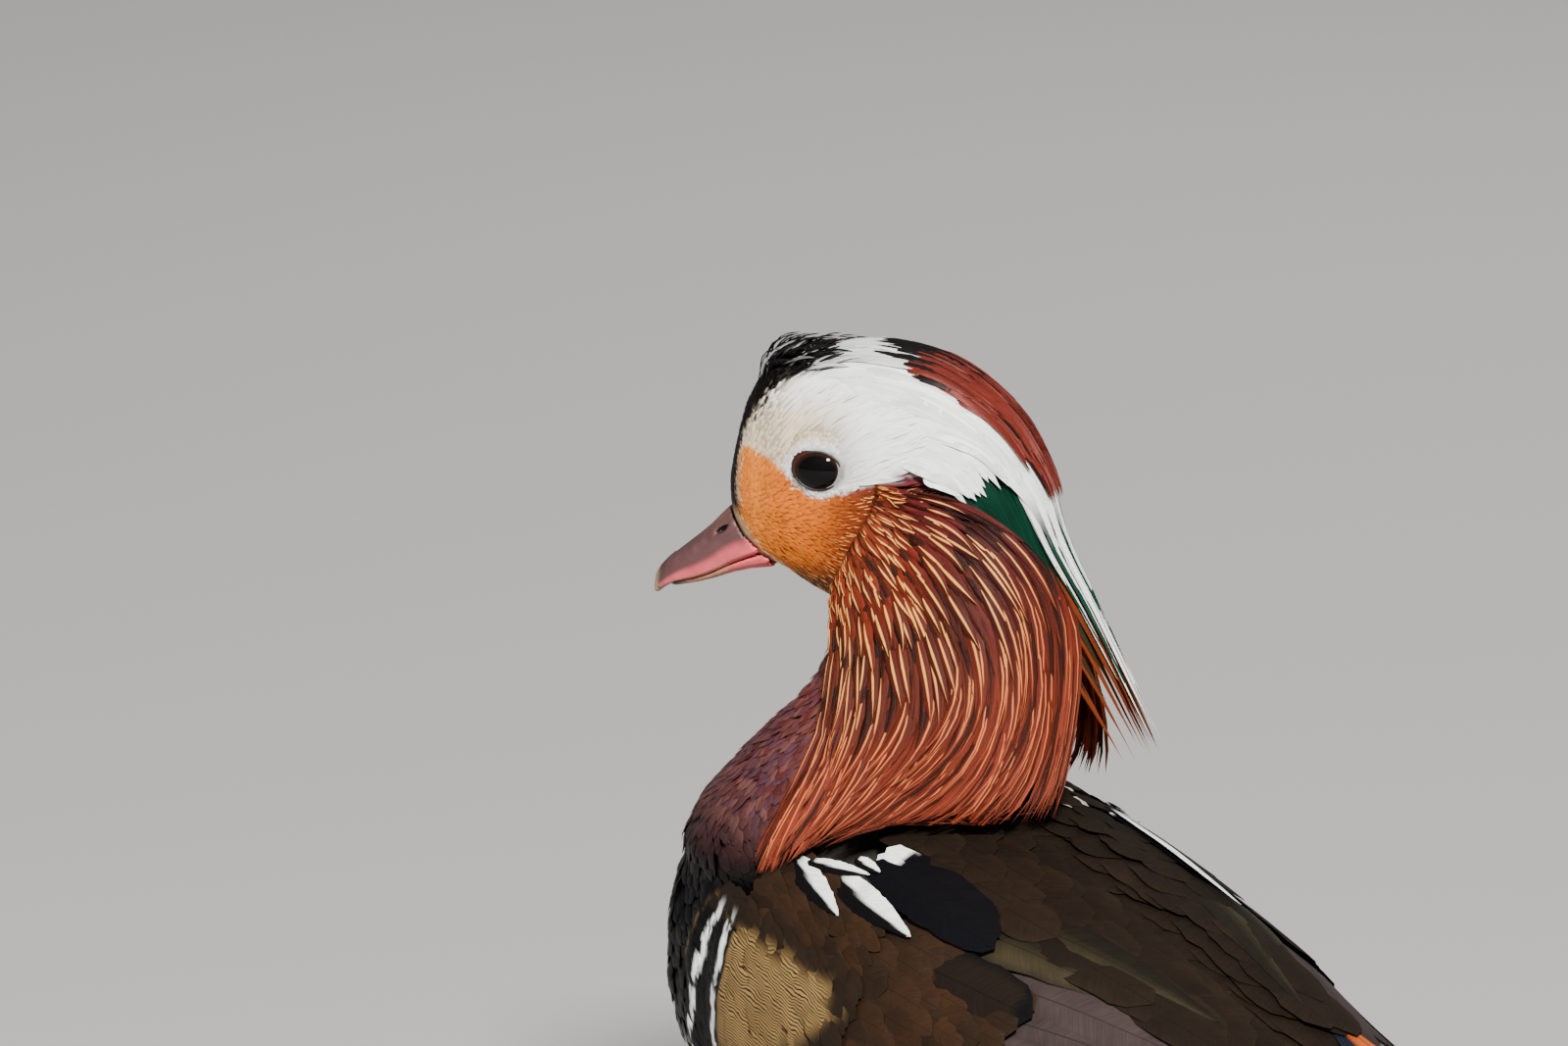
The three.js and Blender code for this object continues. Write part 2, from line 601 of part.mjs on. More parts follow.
// Legs and feet
function legForm(side) {
  const line = new THREE.CatmullRomCurve3([
    new THREE.Vector3(side * LEG_SIDE, FOOT_Y - 4, 82),
    new THREE.Vector3(side * LEG_SIDE, FOOT_Y + 8, 56),
    new THREE.Vector3(side * LEG_SIDE, FOOT_Y + 14, 42),
    new THREE.Vector3(side * LEG_SIDE, FOOT_Y + 8, 22),
    new THREE.Vector3(side * LEG_SIDE, FOOT_Y, FOOT_TOP_Z),
  ]);
  const radius = through([[0, 16], [0.25, 12], [0.45, 5], [0.55, 4.2], [0.7, 3.1], [0.92, 3.2], [1, 3.8]]);
  return formed(9, 10, (t, angle) => {
    const spot = line.getPoint(t);
    const share = t === 0 || t === 1 ? 0 : 1;
    spot.x += share * 0.85 * radius(t) * Math.sin(angle);
    spot.y += share * radius(t) * Math.cos(angle);
    return spot;
  });
}

const TOES = [
  { turn: -0.52, length: 38 },
  { turn: -0.02, length: 46 },
  { turn: 0.5, length: 43 },
];
const HIND_TOE = { turn: 2.75, length: 13 };

// One toe from the foot's hub, flat underneath, with its joints a little swollen.
function toe(side, turn, length) {
  const radius = through([[0, 3.6], [0.3, 2.7], [0.45, 3.1], [0.62, 2.4], [0.75, 2.7], [0.9, 1.7], [1, 0.6]]);
  return formed(6, 8, (t, angle) => {
    const reach = length * t;
    const size = t === 0 || t === 1 ? 0 : radius(t);
    const sideways = size * Math.cos(angle);
    const x = LEG_SIDE + reach * Math.sin(turn) + sideways * Math.cos(turn);
    const y = FOOT_Y - reach * Math.cos(turn) + sideways * Math.sin(turn);
    const z = Math.max(0, 0.75 * size * (1 + 1.15 * Math.sin(angle)));
    return new THREE.Vector3(side * x, y, z);
  });
}

function web(side) {
  const outline = new THREE.Shape();
  const tip = ({ turn, length }, share) =>
    new THREE.Vector2(length * share * Math.sin(turn), -length * share * Math.cos(turn));
  const tips = TOES.map((one) => tip(one, 0.86));
  outline.moveTo(-2, 1);
  outline.lineTo(tips[0].x, tips[0].y);
  outline.quadraticCurveTo(-9, -30, tips[1].x, tips[1].y);
  outline.quadraticCurveTo(10, -31, tips[2].x, tips[2].y);
  outline.lineTo(2, 1);
  outline.closePath();
  const geometry = new THREE.ExtrudeGeometry(outline, {
    depth: 1.1,
    bevelEnabled: false,
    curveSegments: 5,
  });
  geometry.translate(LEG_SIDE, FOOT_Y, 0);
  if (side < 0) geometry.scale(-1, 1, 1);
  return solid(geometry);
}

function foot(side) {
  let form = web(side);
  for (const { turn, length } of TOES) form = form.add(toe(side, turn, length));
  form = form.add(toe(side, HIND_TOE.turn, HIND_TOE.length));
  const hub = formed(10, 4, (t, angle) => {
    const ring = t === 0 || t === 1 ? 0 : mix(4.8, 3.9, t);
    const x = side * (LEG_SIDE + ring * Math.sin(angle));
    return new THREE.Vector3(x, FOOT_Y + ring * Math.cos(angle), (FOOT_TOP_Z - GAP) * t);
  });
  return form.add(hub);
}

// A half space above or below a tilted plane through the neck's base, as a large block.
function neckHalf(above) {
  const block = new THREE.BoxGeometry(300, 700, 240);
  block.translate(0, 0, above ? 120 + GAP / 2 : -120 - GAP / 2);
  block.rotateX(-0.1);
  block.translate(0, -105, NECK_BASE_Z);
  return solid(block);
}

const sides = [
  { side: 1, word: "left" },
  { side: -1, word: "right" },
];
const trunk = torsoForm(0).add(neckForm(0));
const head = headForm(0);
const headRoom = headForm(GAP);
const trunkRoom = torsoForm(GAP).add(neckForm(GAP));
const neck = trunk.intersect(neckHalf(true)).subtract(headRoom);
const torso = trunk.intersect(neckHalf(false));

let face = head;
for (const { side } of sides) {
  const lid = ball(EYE_RADIUS + GAP + LID_THICKNESS, 0, side * EYE_SIDE, 0);
  const socket = ball(EYE_RADIUS + GAP, 0, side * EYE_SIDE, 0);
  face = face.add(lid).subtract(socket).subtract(lidOpening(side));
}
piece("head", face, 0xe6ddd0, 0.85);
piece("neck", neck, 0x8a3a22, 0.8);
piece("torso", torso, 0x7a5a48, 0.85);
const nostrils = nostril(1).add(nostril(-1));
piece("bill_upper", upperBill().subtract(headRoom).subtract(nostrils), 0xa04a50, 0.4);
piece("bill_lower", lowerBill().subtract(headRoom), 0xc06a60, 0.45);
piece("crest", crest().subtract(headRoom).subtract(trunkRoom), 0xd8cabc, 0.8);
piece("tail", tail().subtract(trunkRoom), 0x3c352e, 0.8);

for (const { side, word } of sides) {
  piece(`eye_${word}`, ball(EYE_RADIUS, 0, side * EYE_SIDE, 0), 0x1a0f0a, 0.08);
  piece(`ruff_${word}`, ruff(side).subtract(headRoom).subtract(trunkRoom), 0xb5532a, 0.75);
  piece(`wing_${word}`, wing(side).subtract(trunkRoom), 0x4a3a2c, 0.7);
  piece(`leg_${word}`, legForm(side).subtract(trunkRoom).subtract(foot(side)), 0xc88a3c, 0.6);
  piece(`foot_${word}`, foot(side), 0xc88438, 0.6);
}

export default part;
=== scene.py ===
import math

import bmesh
import bpy
import numpy as np
from mathutils import Matrix, Vector, kdtree


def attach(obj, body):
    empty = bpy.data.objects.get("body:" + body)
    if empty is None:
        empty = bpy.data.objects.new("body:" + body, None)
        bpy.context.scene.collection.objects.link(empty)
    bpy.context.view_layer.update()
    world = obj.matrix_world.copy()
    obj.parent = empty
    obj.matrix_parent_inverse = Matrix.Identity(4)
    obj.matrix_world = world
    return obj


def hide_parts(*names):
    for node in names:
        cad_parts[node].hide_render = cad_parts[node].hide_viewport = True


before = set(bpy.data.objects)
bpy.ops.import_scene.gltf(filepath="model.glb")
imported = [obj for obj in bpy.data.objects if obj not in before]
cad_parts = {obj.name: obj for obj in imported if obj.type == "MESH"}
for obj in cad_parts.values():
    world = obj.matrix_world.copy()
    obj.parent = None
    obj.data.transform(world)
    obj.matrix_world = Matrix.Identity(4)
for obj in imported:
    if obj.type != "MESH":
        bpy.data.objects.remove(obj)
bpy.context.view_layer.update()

# The drake is drawn in millimetres and written to its meshes in metres.
MM = 0.001
draws = np.random.default_rng(11)
FINE = 1.0
SIDES = ((1, "left"), (-1, "right"))

# ---- numbers and directions


class Profile:
    """A value that runs smoothly through stations, with no overshoot."""

    def __init__(self, *stations):
        self.x, self.v = (np.array(column, float) for column in zip(*stations))
        slope = np.diff(self.v) / np.diff(self.x)
        product, total = slope[:-1] * slope[1:], slope[:-1] + slope[1:]
        inner = np.where(product > 0, 2 * product / np.where(total == 0, 1, total), 0)
        self.tangent = np.concatenate([slope[:1], inner, slope[-1:]])

    def __call__(self, x):
        x = np.clip(x, self.x[0], self.x[-1])
        i = np.clip(np.searchsorted(self.x, x, side="right") - 1, 0, len(self.x) - 2)
        span = self.x[i + 1] - self.x[i]
        t = (x - self.x[i]) / span
        leave = t * (1 - t) ** 2 * span * self.tangent[i]
        arrive = t * t * (t - 1) * span * self.tangent[i + 1]
        return self.v[i] + (self.v[i + 1] - self.v[i]) * t * t * (3 - 2 * t) + leave + arrive


def mix(a, b, t):
    return a + (b - a) * t


def step(edge0, edge1, x):
    """0 at edge0, 1 at edge1 and smooth between."""
    t = np.clip((x - edge0) / (edge1 - edge0), 0, 1)
    return t * t * (3 - 2 * t)


def spots(x, y, z):
    """Places from three arrays that fit together."""
    return np.stack(np.broadcast_arrays(x, y, z), -1).astype(float)


def unit(v):
    return v / np.maximum(np.linalg.norm(v, axis=-1, keepdims=True), 1e-9)


def power(value, exponent):
    """A power that keeps the sign of its value."""
    return np.sign(value) * np.abs(value) ** exponent


def curve(points, s):
    """A smooth curve through four or more points, s running from 0 to 1."""
    points = [2 * points[0] - points[1], *points, 2 * points[-1] - points[-2]]
    stack = np.stack(np.broadcast_arrays(*points), 0)
    last = len(points) - 4
    place = np.clip(s, 0, 1) * (last + 1)
    i = np.clip(np.floor(place).astype(int), 0, last)
    u = (place - i)[..., None]
    if stack.ndim == 2:
        a, b, c, d = (stack[i + k] for k in range(4))
    else:
        shape = np.broadcast_shapes(i.shape, stack.shape[1:-1])
        stack = np.broadcast_to(stack, (stack.shape[0], *shape, 3))
        index = np.broadcast_to(i, shape)[None, ..., None]
        a, b, c, d = (np.take_along_axis(stack, index + k, 0)[0] for k in range(4))
    slope0, slope1 = (c - a) / 2, (d - b) / 2
    return (
        b * (2 * u**3 - 3 * u**2 + 1)
        + slope0 * (u**3 - 2 * u**2 + u)
        + c * (3 * u**2 - 2 * u**3)
        + slope1 * (u**3 - u**2)
    )


def srgb(red, green, blue):
    """A colour as the eye names it, 0 to 255, made linear."""
    value = np.array([red, green, blue]) / 255
    return np.where(value < 0.04045, value / 12.92, ((value + 0.055) / 1.055) ** 2.4)


# ---- the forms of the solids, in millimetres

BREAST_Y, BREAST_ROUND = -165, 42
SQUARENESS = 2.35
back_z = Profile(
    (-165, 159), (-130, 163), (-95, 160), (-55, 153), (0, 140.5), (48, 126.5), (88, 116), (130, 107)
)
belly_z = Profile(
    (-165, 84), (-130, 66), (-90, 53), (-50, 47), (-10, 49), (30, 60), (60, 75), (88, 89), (130, 95)
)
body_half = Profile(
    (-165, 48), (-130, 54), (-90, 55), (-40, 55), (0, 52), (40, 44), (88, 34), (130, 24)
)
neck_x = Profile((110, 2), (140, 4), (165, 4), (190, 0), (215, -1), (238, 2))
neck_y = Profile((110, -108), (140, -112), (165, -106), (190, -100), (215, -99), (238, -103))
neck_radius = Profile(
    (110, 26), (120, 40), (131, 46.5), (142, 48.5), (151, 46.5), (160, 41), (170, 34), (180, 27),
    (190, 22.5), (200, 20.5), (215, 20), (238, 18),
)
HEAD_AT = np.array([12.0, -117.0, 242.0])
HEAD_TURN = math.radians(40)
FORWARD = np.array([math.sin(HEAD_TURN), -math.cos(HEAD_TURN), 0])
LEFT = np.array([math.cos(HEAD_TURN), math.sin(HEAD_TURN), 0])
UP = np.array([0.0, 0, 1])
EYE_RADIUS, EYE_SIDE = 6.9, 12.0
WING_FRONT_Y, WING_TIP_Y, WING_THICKNESS = -114, 128, 8
RUFF_LIFT = 1.6
NECK_TOP, FAR_BELOW = 236, -1e3


def body_levels(y):
    """The height of the body's middle line, and how far its back and belly are from it."""
    return (back_z(y) + belly_z(y)) / 2, (back_z(y) - belly_z(y)) / 2


def ring(y, angle):
    """The body's outline round its length at y, from the middle of the back, angle 0."""
    middle, rise = body_levels(y)
    x = body_half(y) * power(np.sin(angle), 2 / SQUARENESS)
    return spots(x, y, middle + rise * power(np.cos(angle), 2 / SQUARENESS))


def on_body(y, angle, out):
    """Places that lie out mm over the body."""
    along = ring(y + 1, angle) - ring(y - 1, angle)
    around = ring(y, angle + 0.03) - ring(y, angle - 0.03)
    return ring(y, angle) + unit(np.cross(around, along)) * np.asarray(out)[..., None]


def body_turn(points):
    """The turn from the middle of the back, 0, past the side to the belly, pi."""
    x, y, z = np.moveaxis(points, -1, 0)
    middle, rise = body_levels(y)
    across = np.abs(x / body_half(y)) ** (SQUARENESS / 2)
    return np.arctan2(across, power((z - middle) / rise, SQUARENESS / 2))


def in_head(f, l, z):
    """Places from the head's own forward, left and up distances."""
    f, l, z = (np.asarray(value, float)[..., None] for value in (f, l, z))
    return HEAD_AT + f * FORWARD + l * LEFT + z * UP


def to_head(points):
    """How far places lie forward, left and up from the middle of the head."""
    away = points - HEAD_AT
    return away @ FORWARD, away @ LEFT, away[..., 2]


def body_top(x, y):
    """The height of the back's surface over a place on the floor."""
    share = np.minimum(0.98, np.abs(x) / body_half(y))
    front = np.clip((BREAST_Y + BREAST_ROUND - y) / BREAST_ROUND, 0, 1)
    middle, rise = body_levels(y)
    height = (1 - share**SQUARENESS) ** (1 / SQUARENESS)
    return np.where(front < 1, middle + rise * height * np.sqrt(1 - front**2), FAR_BELOW)


def clear(points, lift):
    """Lifts what would sink into the back or the neck clear of them."""
    made = points.copy()
    x, y, z = made[..., 0], made[..., 1], made[..., 2]
    cover = step(WING_FRONT_Y - 6, WING_FRONT_Y + 20, y) * WING_THICKNESS
    made[..., 2] = z = np.maximum(z, body_top(x, y) + cover + lift)
    away = np.stack([x - neck_x(z), y - neck_y(z)], -1)
    reach = np.linalg.norm(away, axis=-1)
    least = neck_radius(z) + lift
    push = np.where((z < NECK_TOP) & (reach < least), least / np.maximum(reach, 1e-6), 1)
    made[..., 0] = neck_x(z) + away[..., 0] * push
    made[..., 1] = neck_y(z) + away[..., 1] * push
    return made


NUDGE = 0.02


def lifted(base, facing):
    """A surface whose points rise along its own normal."""

    def spot(p, s, out):
        across = base(p + NUDGE, s) - base(p - NUDGE, s)
        along = base(p, np.minimum(s + NUDGE, 1)) - base(p, np.maximum(s - NUDGE, 0))
        return base(p, s) + unit(np.cross(across, along)) * facing * np.asarray(out)[..., None]

    return spot


# Guide lines of the ruff in the head frame, from the throat (0) to the nape (1).
RUFF_GUIDES = {
    1: (
        (0, (-3, 13, -30), (-6, 20, -44), (-4, 31, -69), (9, 43, -97)),
        (0.2, (-7, 17, -22), (-14, 25, -44), (-14, 36, -68.5), (-8, 48, -93)),
        (0.4, (-11, 19, -15), (-26, 28, -38), (-31, 38, -63.5), (-28, 49, -88)),
        (0.6, (-14, 19, -10), (-36, 28, -27), (-48, 36, -54), (-49, 45, -85)),
        (0.8, (-15, 19, -6), (-42, 27, -14), (-58, 30, -42), (-62, 34, -82)),
        (1, (-15, 18, -2), (-43, 24, -5), (-63, 22, -25), (-70, 17, -60)),
    ),
    -1: (
        (0, (-3, -13, -30), (-8, -19, -44), (-4, -27, -70), (6, -36, -95)),
        (0.2, (-7, -17, -22), (-14, -24, -44), (-13, -31, -68), (-8, -40, -93)),
        (0.4, (-11, -18, -15), (-22, -26, -38), (-24, -32, -64), (-22, -42, -91)),
        (0.6, (-14, -18, -10), (-30, -25, -27), (-37, -30, -54), (-40, -38, -90)),
        (0.8, (-15, -18, -6), (-35, -24, -16), (-45, -27, -44), (-56, -32, -89)),
        (1, (-15, -18, -2), (-37, -22, -8), (-50, -22, -35), (-70, -24, -87)),
    ),
}


def ruff_spot(side):
    """The ruff's surface on one side, from its guide lines."""
    guides = RUFF_GUIDES[side]
    control = [
        [Profile(*((guide[0], guide[k][axis]) for guide in guides)) for axis in range(3)]
        for k in (1, 2, 3, 4)
    ]

    def base(c, s):
        points = [in_head(*(profile(c) for profile in row)) for row in control]
        return clear(curve(points, s), RUFF_LIFT)

    return lifted(base, -side)


# The crest's middle line, forward and up in the head frame, from the forehead to its tip.
CREST_STATIONS = (
    (8, 30), (-12, 31.5), (-31, 27), (-47, 15), (-56, 0), (-61, -17), (-70, -36), (-86, -70)
)
CREST_LINE = [np.array([f, 0.0, z]) for f, z in CREST_STATIONS]
crest_half = Profile((0, 12), (0.2, 17), (0.5, 17), (0.75, 13), (1, 8))
crest_depth = Profile((0, 4.6), (0.15, 3.8), (0.5, 3), (1, 2.6))
CREST_BEND, CREST_TUCK = 0.62, 4.5


def crest_base(p, s):
    """The crest's surface: p runs across it, s from the forehead to its tip."""
    p, s = np.broadcast_arrays(p, s)
    middle = curve(CREST_LINE, s)
    tangent = unit(curve(CREST_LINE, s + 0.01) - curve(CREST_LINE, s - 0.01))
    across = (p - 0.5) * 2
    depth = crest_depth(s) + crest_half(s) * CREST_BEND * across**2
    f, z = middle[..., 0] - depth * tangent[..., 2], middle[..., 2] + depth * tangent[..., 0]
    return in_head(f, across * crest_half(s), z)


crest_rise = lifted(crest_base, 1)


def crest_spot(p, s, out):
    """The crest's outer side, its front edges tucked into the feathers of the head."""
    tuck = step(0.5, 1.0, np.abs(p - 0.5) * 2) * step(0.46, 0.3, s)
    return crest_rise(p, s, out - CREST_TUCK * tuck)


def wing_spot(side, root, tip):
    """A tract of the folded wing between four corners, each a distance along and a turn down."""

    def spot(p, s, out):
        y, turn = (
            mix(mix(root[0][axis], tip[0][axis], s), mix(root[1][axis], tip[1][axis], s), p)
            for axis in (0, 1)
        )
        return on_body(y, side * turn, out)

    return spot


TAIL_LENGTH, TAIL_TIP_Y, TAIL_SPREAD = 105, 165, 0.62
TAIL_ROOT, TAIL_ROUND, TAIL_BOW = 10, 34, 0.007
TAIL_ROOT_Z, TAIL_TIP_Z = 104.5, 98.5


def tail_spot(p, s, out):
    """The tail's fan: p runs across it, s from its root to its tip."""
    angle = (p - 0.5) * TAIL_SPREAD
    reach = mix(TAIL_ROOT, TAIL_LENGTH - TAIL_ROUND * np.abs(p - 0.5) ** 1.5, s)
    x = reach * np.sin(angle)
    y = TAIL_TIP_Y - TAIL_LENGTH + reach * np.cos(angle)
    return spots(x, y, mix(TAIL_ROOT_Z, TAIL_TIP_Z, s) - TAIL_BOW * x * x + out)


# ---- materials


class Wire:
    """A number inside a material, on which sums add Math nodes."""

    def __init__(self, finish, socket):
        self.finish, self.socket = finish, socket

    def __add__(self, other):
        return self.finish.sum("ADD", self, other)

    def __sub__(self, other):
        return self.finish.sum("SUBTRACT", self, other)

    def __rsub__(self, other):
        return self.finish.sum("SUBTRACT", other, self)

    def __mul__(self, other):
        return self.finish.sum("MULTIPLY", self, other)

    def __truediv__(self, other):
        return self.finish.sum("DIVIDE", self, other)

    def __abs__(self):
        return self.finish.sum("ABSOLUTE", self)

    __radd__, __rmul__ = __add__, __mul__


class Finish:
    """One procedural material."""

    def __init__(self, name):
        self.material = bpy.data.materials.new(name)
        self.material.use_nodes = True
        self.nodes, self.links = self.material.node_tree.nodes, self.material.node_tree.links
        self.shader = self.nodes["Principled BSDF"]

    def put(self, socket, value):
        if isinstance(value, Wire):
            self.links.new(value.socket, socket)
        elif hasattr(value, "__len__"):
            socket.default_value = [*map(float, value), 1.0][: len(socket.default_value)]
        else:
            socket.default_value = value

    def node(self, kind, settings, inputs, output=0):
        made = self.nodes.new("ShaderNode" + kind)
        for key, value in settings.items():
            setattr(made, key, value)
        for key, value in inputs.items():
            self.put(made.inputs[key], value)
        return Wire(self, made.outputs[output])

    def sum(self, operation, *values):
        return self.node("Math", {"operation": operation}, dict(enumerate(values)))

    def between(self, low, high, value):
        """0 below low, 1 above high, smooth between."""
        kind = {"interpolation_type": "SMOOTHSTEP"}
        return self.node("MapRange", kind, {"Value": value, "From Min": low, "From Max": high})

    def blend(self, share, first, second):
        kind = {"data_type": "RGBA", "clamp_factor": True}
        return self.node("Mix", kind, {0: share, 6: first, 7: second}, 2)

    def scaled(self, colour, share):
        return self.node("VectorMath", {"operation": "SCALE"}, {0: colour, "Scale": share})

    def attribute(self, name, output="Color"):
        return self.node("Attribute", {"attribute_name": name}, {}, output)

    def place(self):
        return self.node("TexCoord", {}, {}, "Object")

    def noise(self, vector, scale, detail=2.0):
        return self.node("TexNoise", {}, {"Vector": vector, "Scale": scale, "Detail": detail})

    def bump(self, height, distance, strength=1.0):
        inputs = {"Height": height, "Distance": distance, "Strength": strength}
        return self.node("Bump", {}, inputs)

    def surface(self, **inputs):
        for name, value in inputs.items():
            self.put(self.shader.inputs[name.replace("_", " ")], value)
        return self.material


# How fast the crossbars pass along the body and down its side, and how far they waver.
BAR_RUN, BAR_RISE, BAR_WARP = 380, 1400, 4.0
BAR_BROWN = srgb(26, 19, 13)


def plumage(
    name, barb=0.5, slant=0.8, contrast=0.3, streak=0.2, rough=0.62, relief=0.06, bars=0.0,
    mottle=0.3,
):
    """Feather vanes: barbs that slant from the shaft, a shaft streak and the painted colour.

    barb is the pitch of the barbs in mm. slant is how far they run back along the shaft, in mm
    over the half vane. bars is the pitch of wavy crossbars, or 0 for none. mottle is how much
    the colour clouds over."""
    finish = Finish(name)
    vane = finish.node("UVMap", {"uv_map": "vane"}, {})
    x = finish.node("SeparateXYZ", {}, {0: vane}, 0)
    y = finish.node("SeparateXYZ", {}, {0: vane}, 1)
    away = abs(x - 0.5) * 2
    tint, gloss = finish.attribute("tint"), finish.attribute("tint", "Alpha")
    shaft, strength = finish.attribute("shaft"), finish.attribute("shaft", "Alpha")
    lie = y - away * slant
    grain = finish.node("CombineXYZ", {}, {0: away * 0.6, 1: lie / barb, 2: x * 1.5})
    barbs = finish.noise(grain, 1.0, 3.0)
    cloud = finish.noise(finish.place(), 160.0, 2.0)
    shade = 1 + (barbs - 0.5) * contrast * 2 + (cloud - 0.5) * mottle
    colour = finish.scaled(tint, shade)
    if bars:
        warp = finish.noise(finish.place(), 190.0, 1.0)
        run = finish.node("SeparateXYZ", {}, {0: finish.place()}, 1)
        rise = finish.node("SeparateXYZ", {}, {0: finish.place()}, 2)
        phase = (run * BAR_RUN + rise * BAR_RISE + warp * bars * BAR_WARP) * (math.tau / bars)
        band = finish.between(0.1, 0.6, finish.sum("SINE", phase))
        colour = finish.blend(band * finish.attribute("bars", "Fac"), colour, BAR_BROWN)
    line = 1 - finish.between(0.25, 1.0, away / (strength * streak + 0.004))
    colour = finish.blend(line, colour, shaft)
    height = barbs + line * 0.8
    return finish.surface(
        Base_Color=colour,
        Roughness=rough + (barbs - 0.5) * 0.25 - gloss * 0.3,
        Metallic=gloss * 0.45,
        Normal=finish.bump(height, relief * MM, 0.7),
        Specular_IOR_Level=0.16,
    )


# ---- meshes of feathers


def linked(name, data):
    made = bpy.data.objects.new(name, data)
    bpy.context.scene.collection.objects.link(made)
    return made


def smoothed(mesh):
    mesh.polygons.foreach_set("use_smooth", np.ones(len(mesh.polygons), bool))
    return mesh


def mesh_of(name, shape):
    """A smooth mesh from a bmesh that is finished with."""
    bmesh.ops.recalc_face_normals(shape, faces=shape.faces)
    mesh = bpy.data.meshes.new(name)
    shape.to_mesh(mesh)
    shape.free()
    return smoothed(mesh)


def add_object(name, mesh, slot, material, *nodes):
    """A piece of the drake, in place of the nodes that it covers; its slot is not used."""
    made = linked(name, mesh)
    made.data.materials.clear()
    made.data.materials.append(material)
    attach(made, "root")
    if nodes:
        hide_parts(*nodes)


def vane_faces(rings, columns):
    """Triangles of one closed vane: a pole, rings of columns points, and a pole."""
    faces, last = [], 1 + rings * columns
    for j in range(columns):
        k = (j + 1) % columns
        faces.append((0, 1 + k, 1 + j))
        faces.append((last, last - columns + j, last - columns + k))
        for r in range(rings - 1):
            a, b = 1 + r * columns + j, 1 + r * columns + k
            faces += [(a, b, b + columns), (a, b + columns, a + columns)]
    return np.array(faces)


RIM = 0.999
# Each feather takes its barbs from its own stretch of the pattern, in mm.
PATTERN_LENGTH = 400


class Plumes:
    """Gathers feathers of several sizes into one joined mesh."""

    def __init__(self):
        self.parts = []
        self.count = 0

    def add(self, points, x, along, tint, shaft, home, patch, bars=0.0):
        """points: feathers, rings, columns, 3 in mm; x: the columns' places from -1 to 1."""
        n, rings, columns = points.shape[:3]
        middle = points[:, rings // 2]
        across = middle[:, -1] - middle[:, 0]
        lengthwise = points[:, rings // 2 + 1, columns // 2] - middle[:, columns // 2]
        crown = middle[:, columns // 2] - (middle[:, 0] + middle[:, -1]) / 2
        flipped = (np.cross(across, lengthwise) * crown).sum(-1) < 0
        sheet = (n, rings, columns)
        along = np.broadcast_to(along, sheet[:2])
        shift = draws.uniform(0, PATTERN_LENGTH, (n, 1, 1))
        lengths = np.broadcast_to(along[..., None], sheet) + shift
        vane = np.stack([np.broadcast_to(0.5 + x / 2, sheet), lengths], -1)
        reach = (along / np.maximum(along[:, -1:], 1e-6))[..., None]
        bake = np.stack(
            [
                home[:, None, None, 0] + patch * np.broadcast_to(x / 2, sheet),
                home[:, None, None, 1] + patch * np.broadcast_to(reach, sheet),
            ],
            -1,
        )
        layers = [
            points,
            vane,
            bake,
            np.broadcast_to(tint, (*sheet, 4)),
            np.broadcast_to(shaft, (*sheet, 4)),
            np.broadcast_to(bars, sheet)[..., None],
            np.broadcast_to(np.abs(x) > RIM, sheet)[..., None],
        ]
        data = np.concatenate([layer.astype(np.float32) for layer in layers], -1)
        data[flipped] = data[flipped][:, :, ::-1]
        body = data[:, 1:-1].reshape(n, -1, data.shape[-1])
        centre = columns // 2
        ends = data[:, 0, centre][:, None], data[:, -1, centre][:, None]
        ends[0][..., -1] = ends[1][..., -1] = 1
        verts = np.concatenate([ends[0], body, ends[1]], 1)
        faces = vane_faces(rings - 2, columns)
        faces = faces[None] + (np.arange(n) * verts.shape[1])[:, None, None] + self.count
        self.count += verts.shape[0] * verts.shape[1]
        self.parts.append((verts.reshape(-1, data.shape[-1]), faces.reshape(-1, 3)))

    def build(self, name, slot, material, *nodes):
        data = np.concatenate([part[0] for part in self.parts])
        faces = np.concatenate([part[1] for part in self.parts])
        mesh = bpy.data.meshes.new(name)
        mesh.from_pydata(data[:, :3] * MM, [], faces)
        smoothed(mesh)
        loops = faces.ravel()
        for layer, columns in (("vane", (3, 4)), ("OFBake", (5, 6))):
            uv = mesh.uv_layers.new(name=layer)
            uv.data.foreach_set("uv", data[loops][:, columns].ravel())
        for layer, start in (("tint", 7), ("shaft", 11)):
            colours = mesh.color_attributes.new(layer, "FLOAT_COLOR", "POINT")
            colours.data.foreach_set("color", data[:, start : start + 4].ravel())
        bars = mesh.attributes.new("bars", "FLOAT", "POINT")
        bars.data.foreach_set("value", data[:, 15].copy())
        edges = np.empty(len(mesh.edges) * 2, np.int64)
        mesh.edges.foreach_get("vertices", edges)
        rim = data[:, 16][edges].reshape(-1, 2).min(1) > 0.5
        sharp = mesh.attributes.new("sharp_edge", "BOOLEAN", "EDGE")
        sharp.data.foreach_set("value", rim)
        add_object(name, mesh, slot, material, *nodes)


def columns_of(count):
    return np.linspace(-1, 1, count)


CELL_FOOT, CELL_SHARE = 0.05, 0.9


def bake_homes(cells, n):
    """Where n feathers have their patches on the bake map, and how large these are."""
    first, side = cells
    index = first + np.arange(n)
    home = np.stack([(index % side + 0.5) / side, (index // side + CELL_FOOT) / side], -1)
    return home, CELL_SHARE / side


RAGGED, UNEVEN = 0.04, 0.12


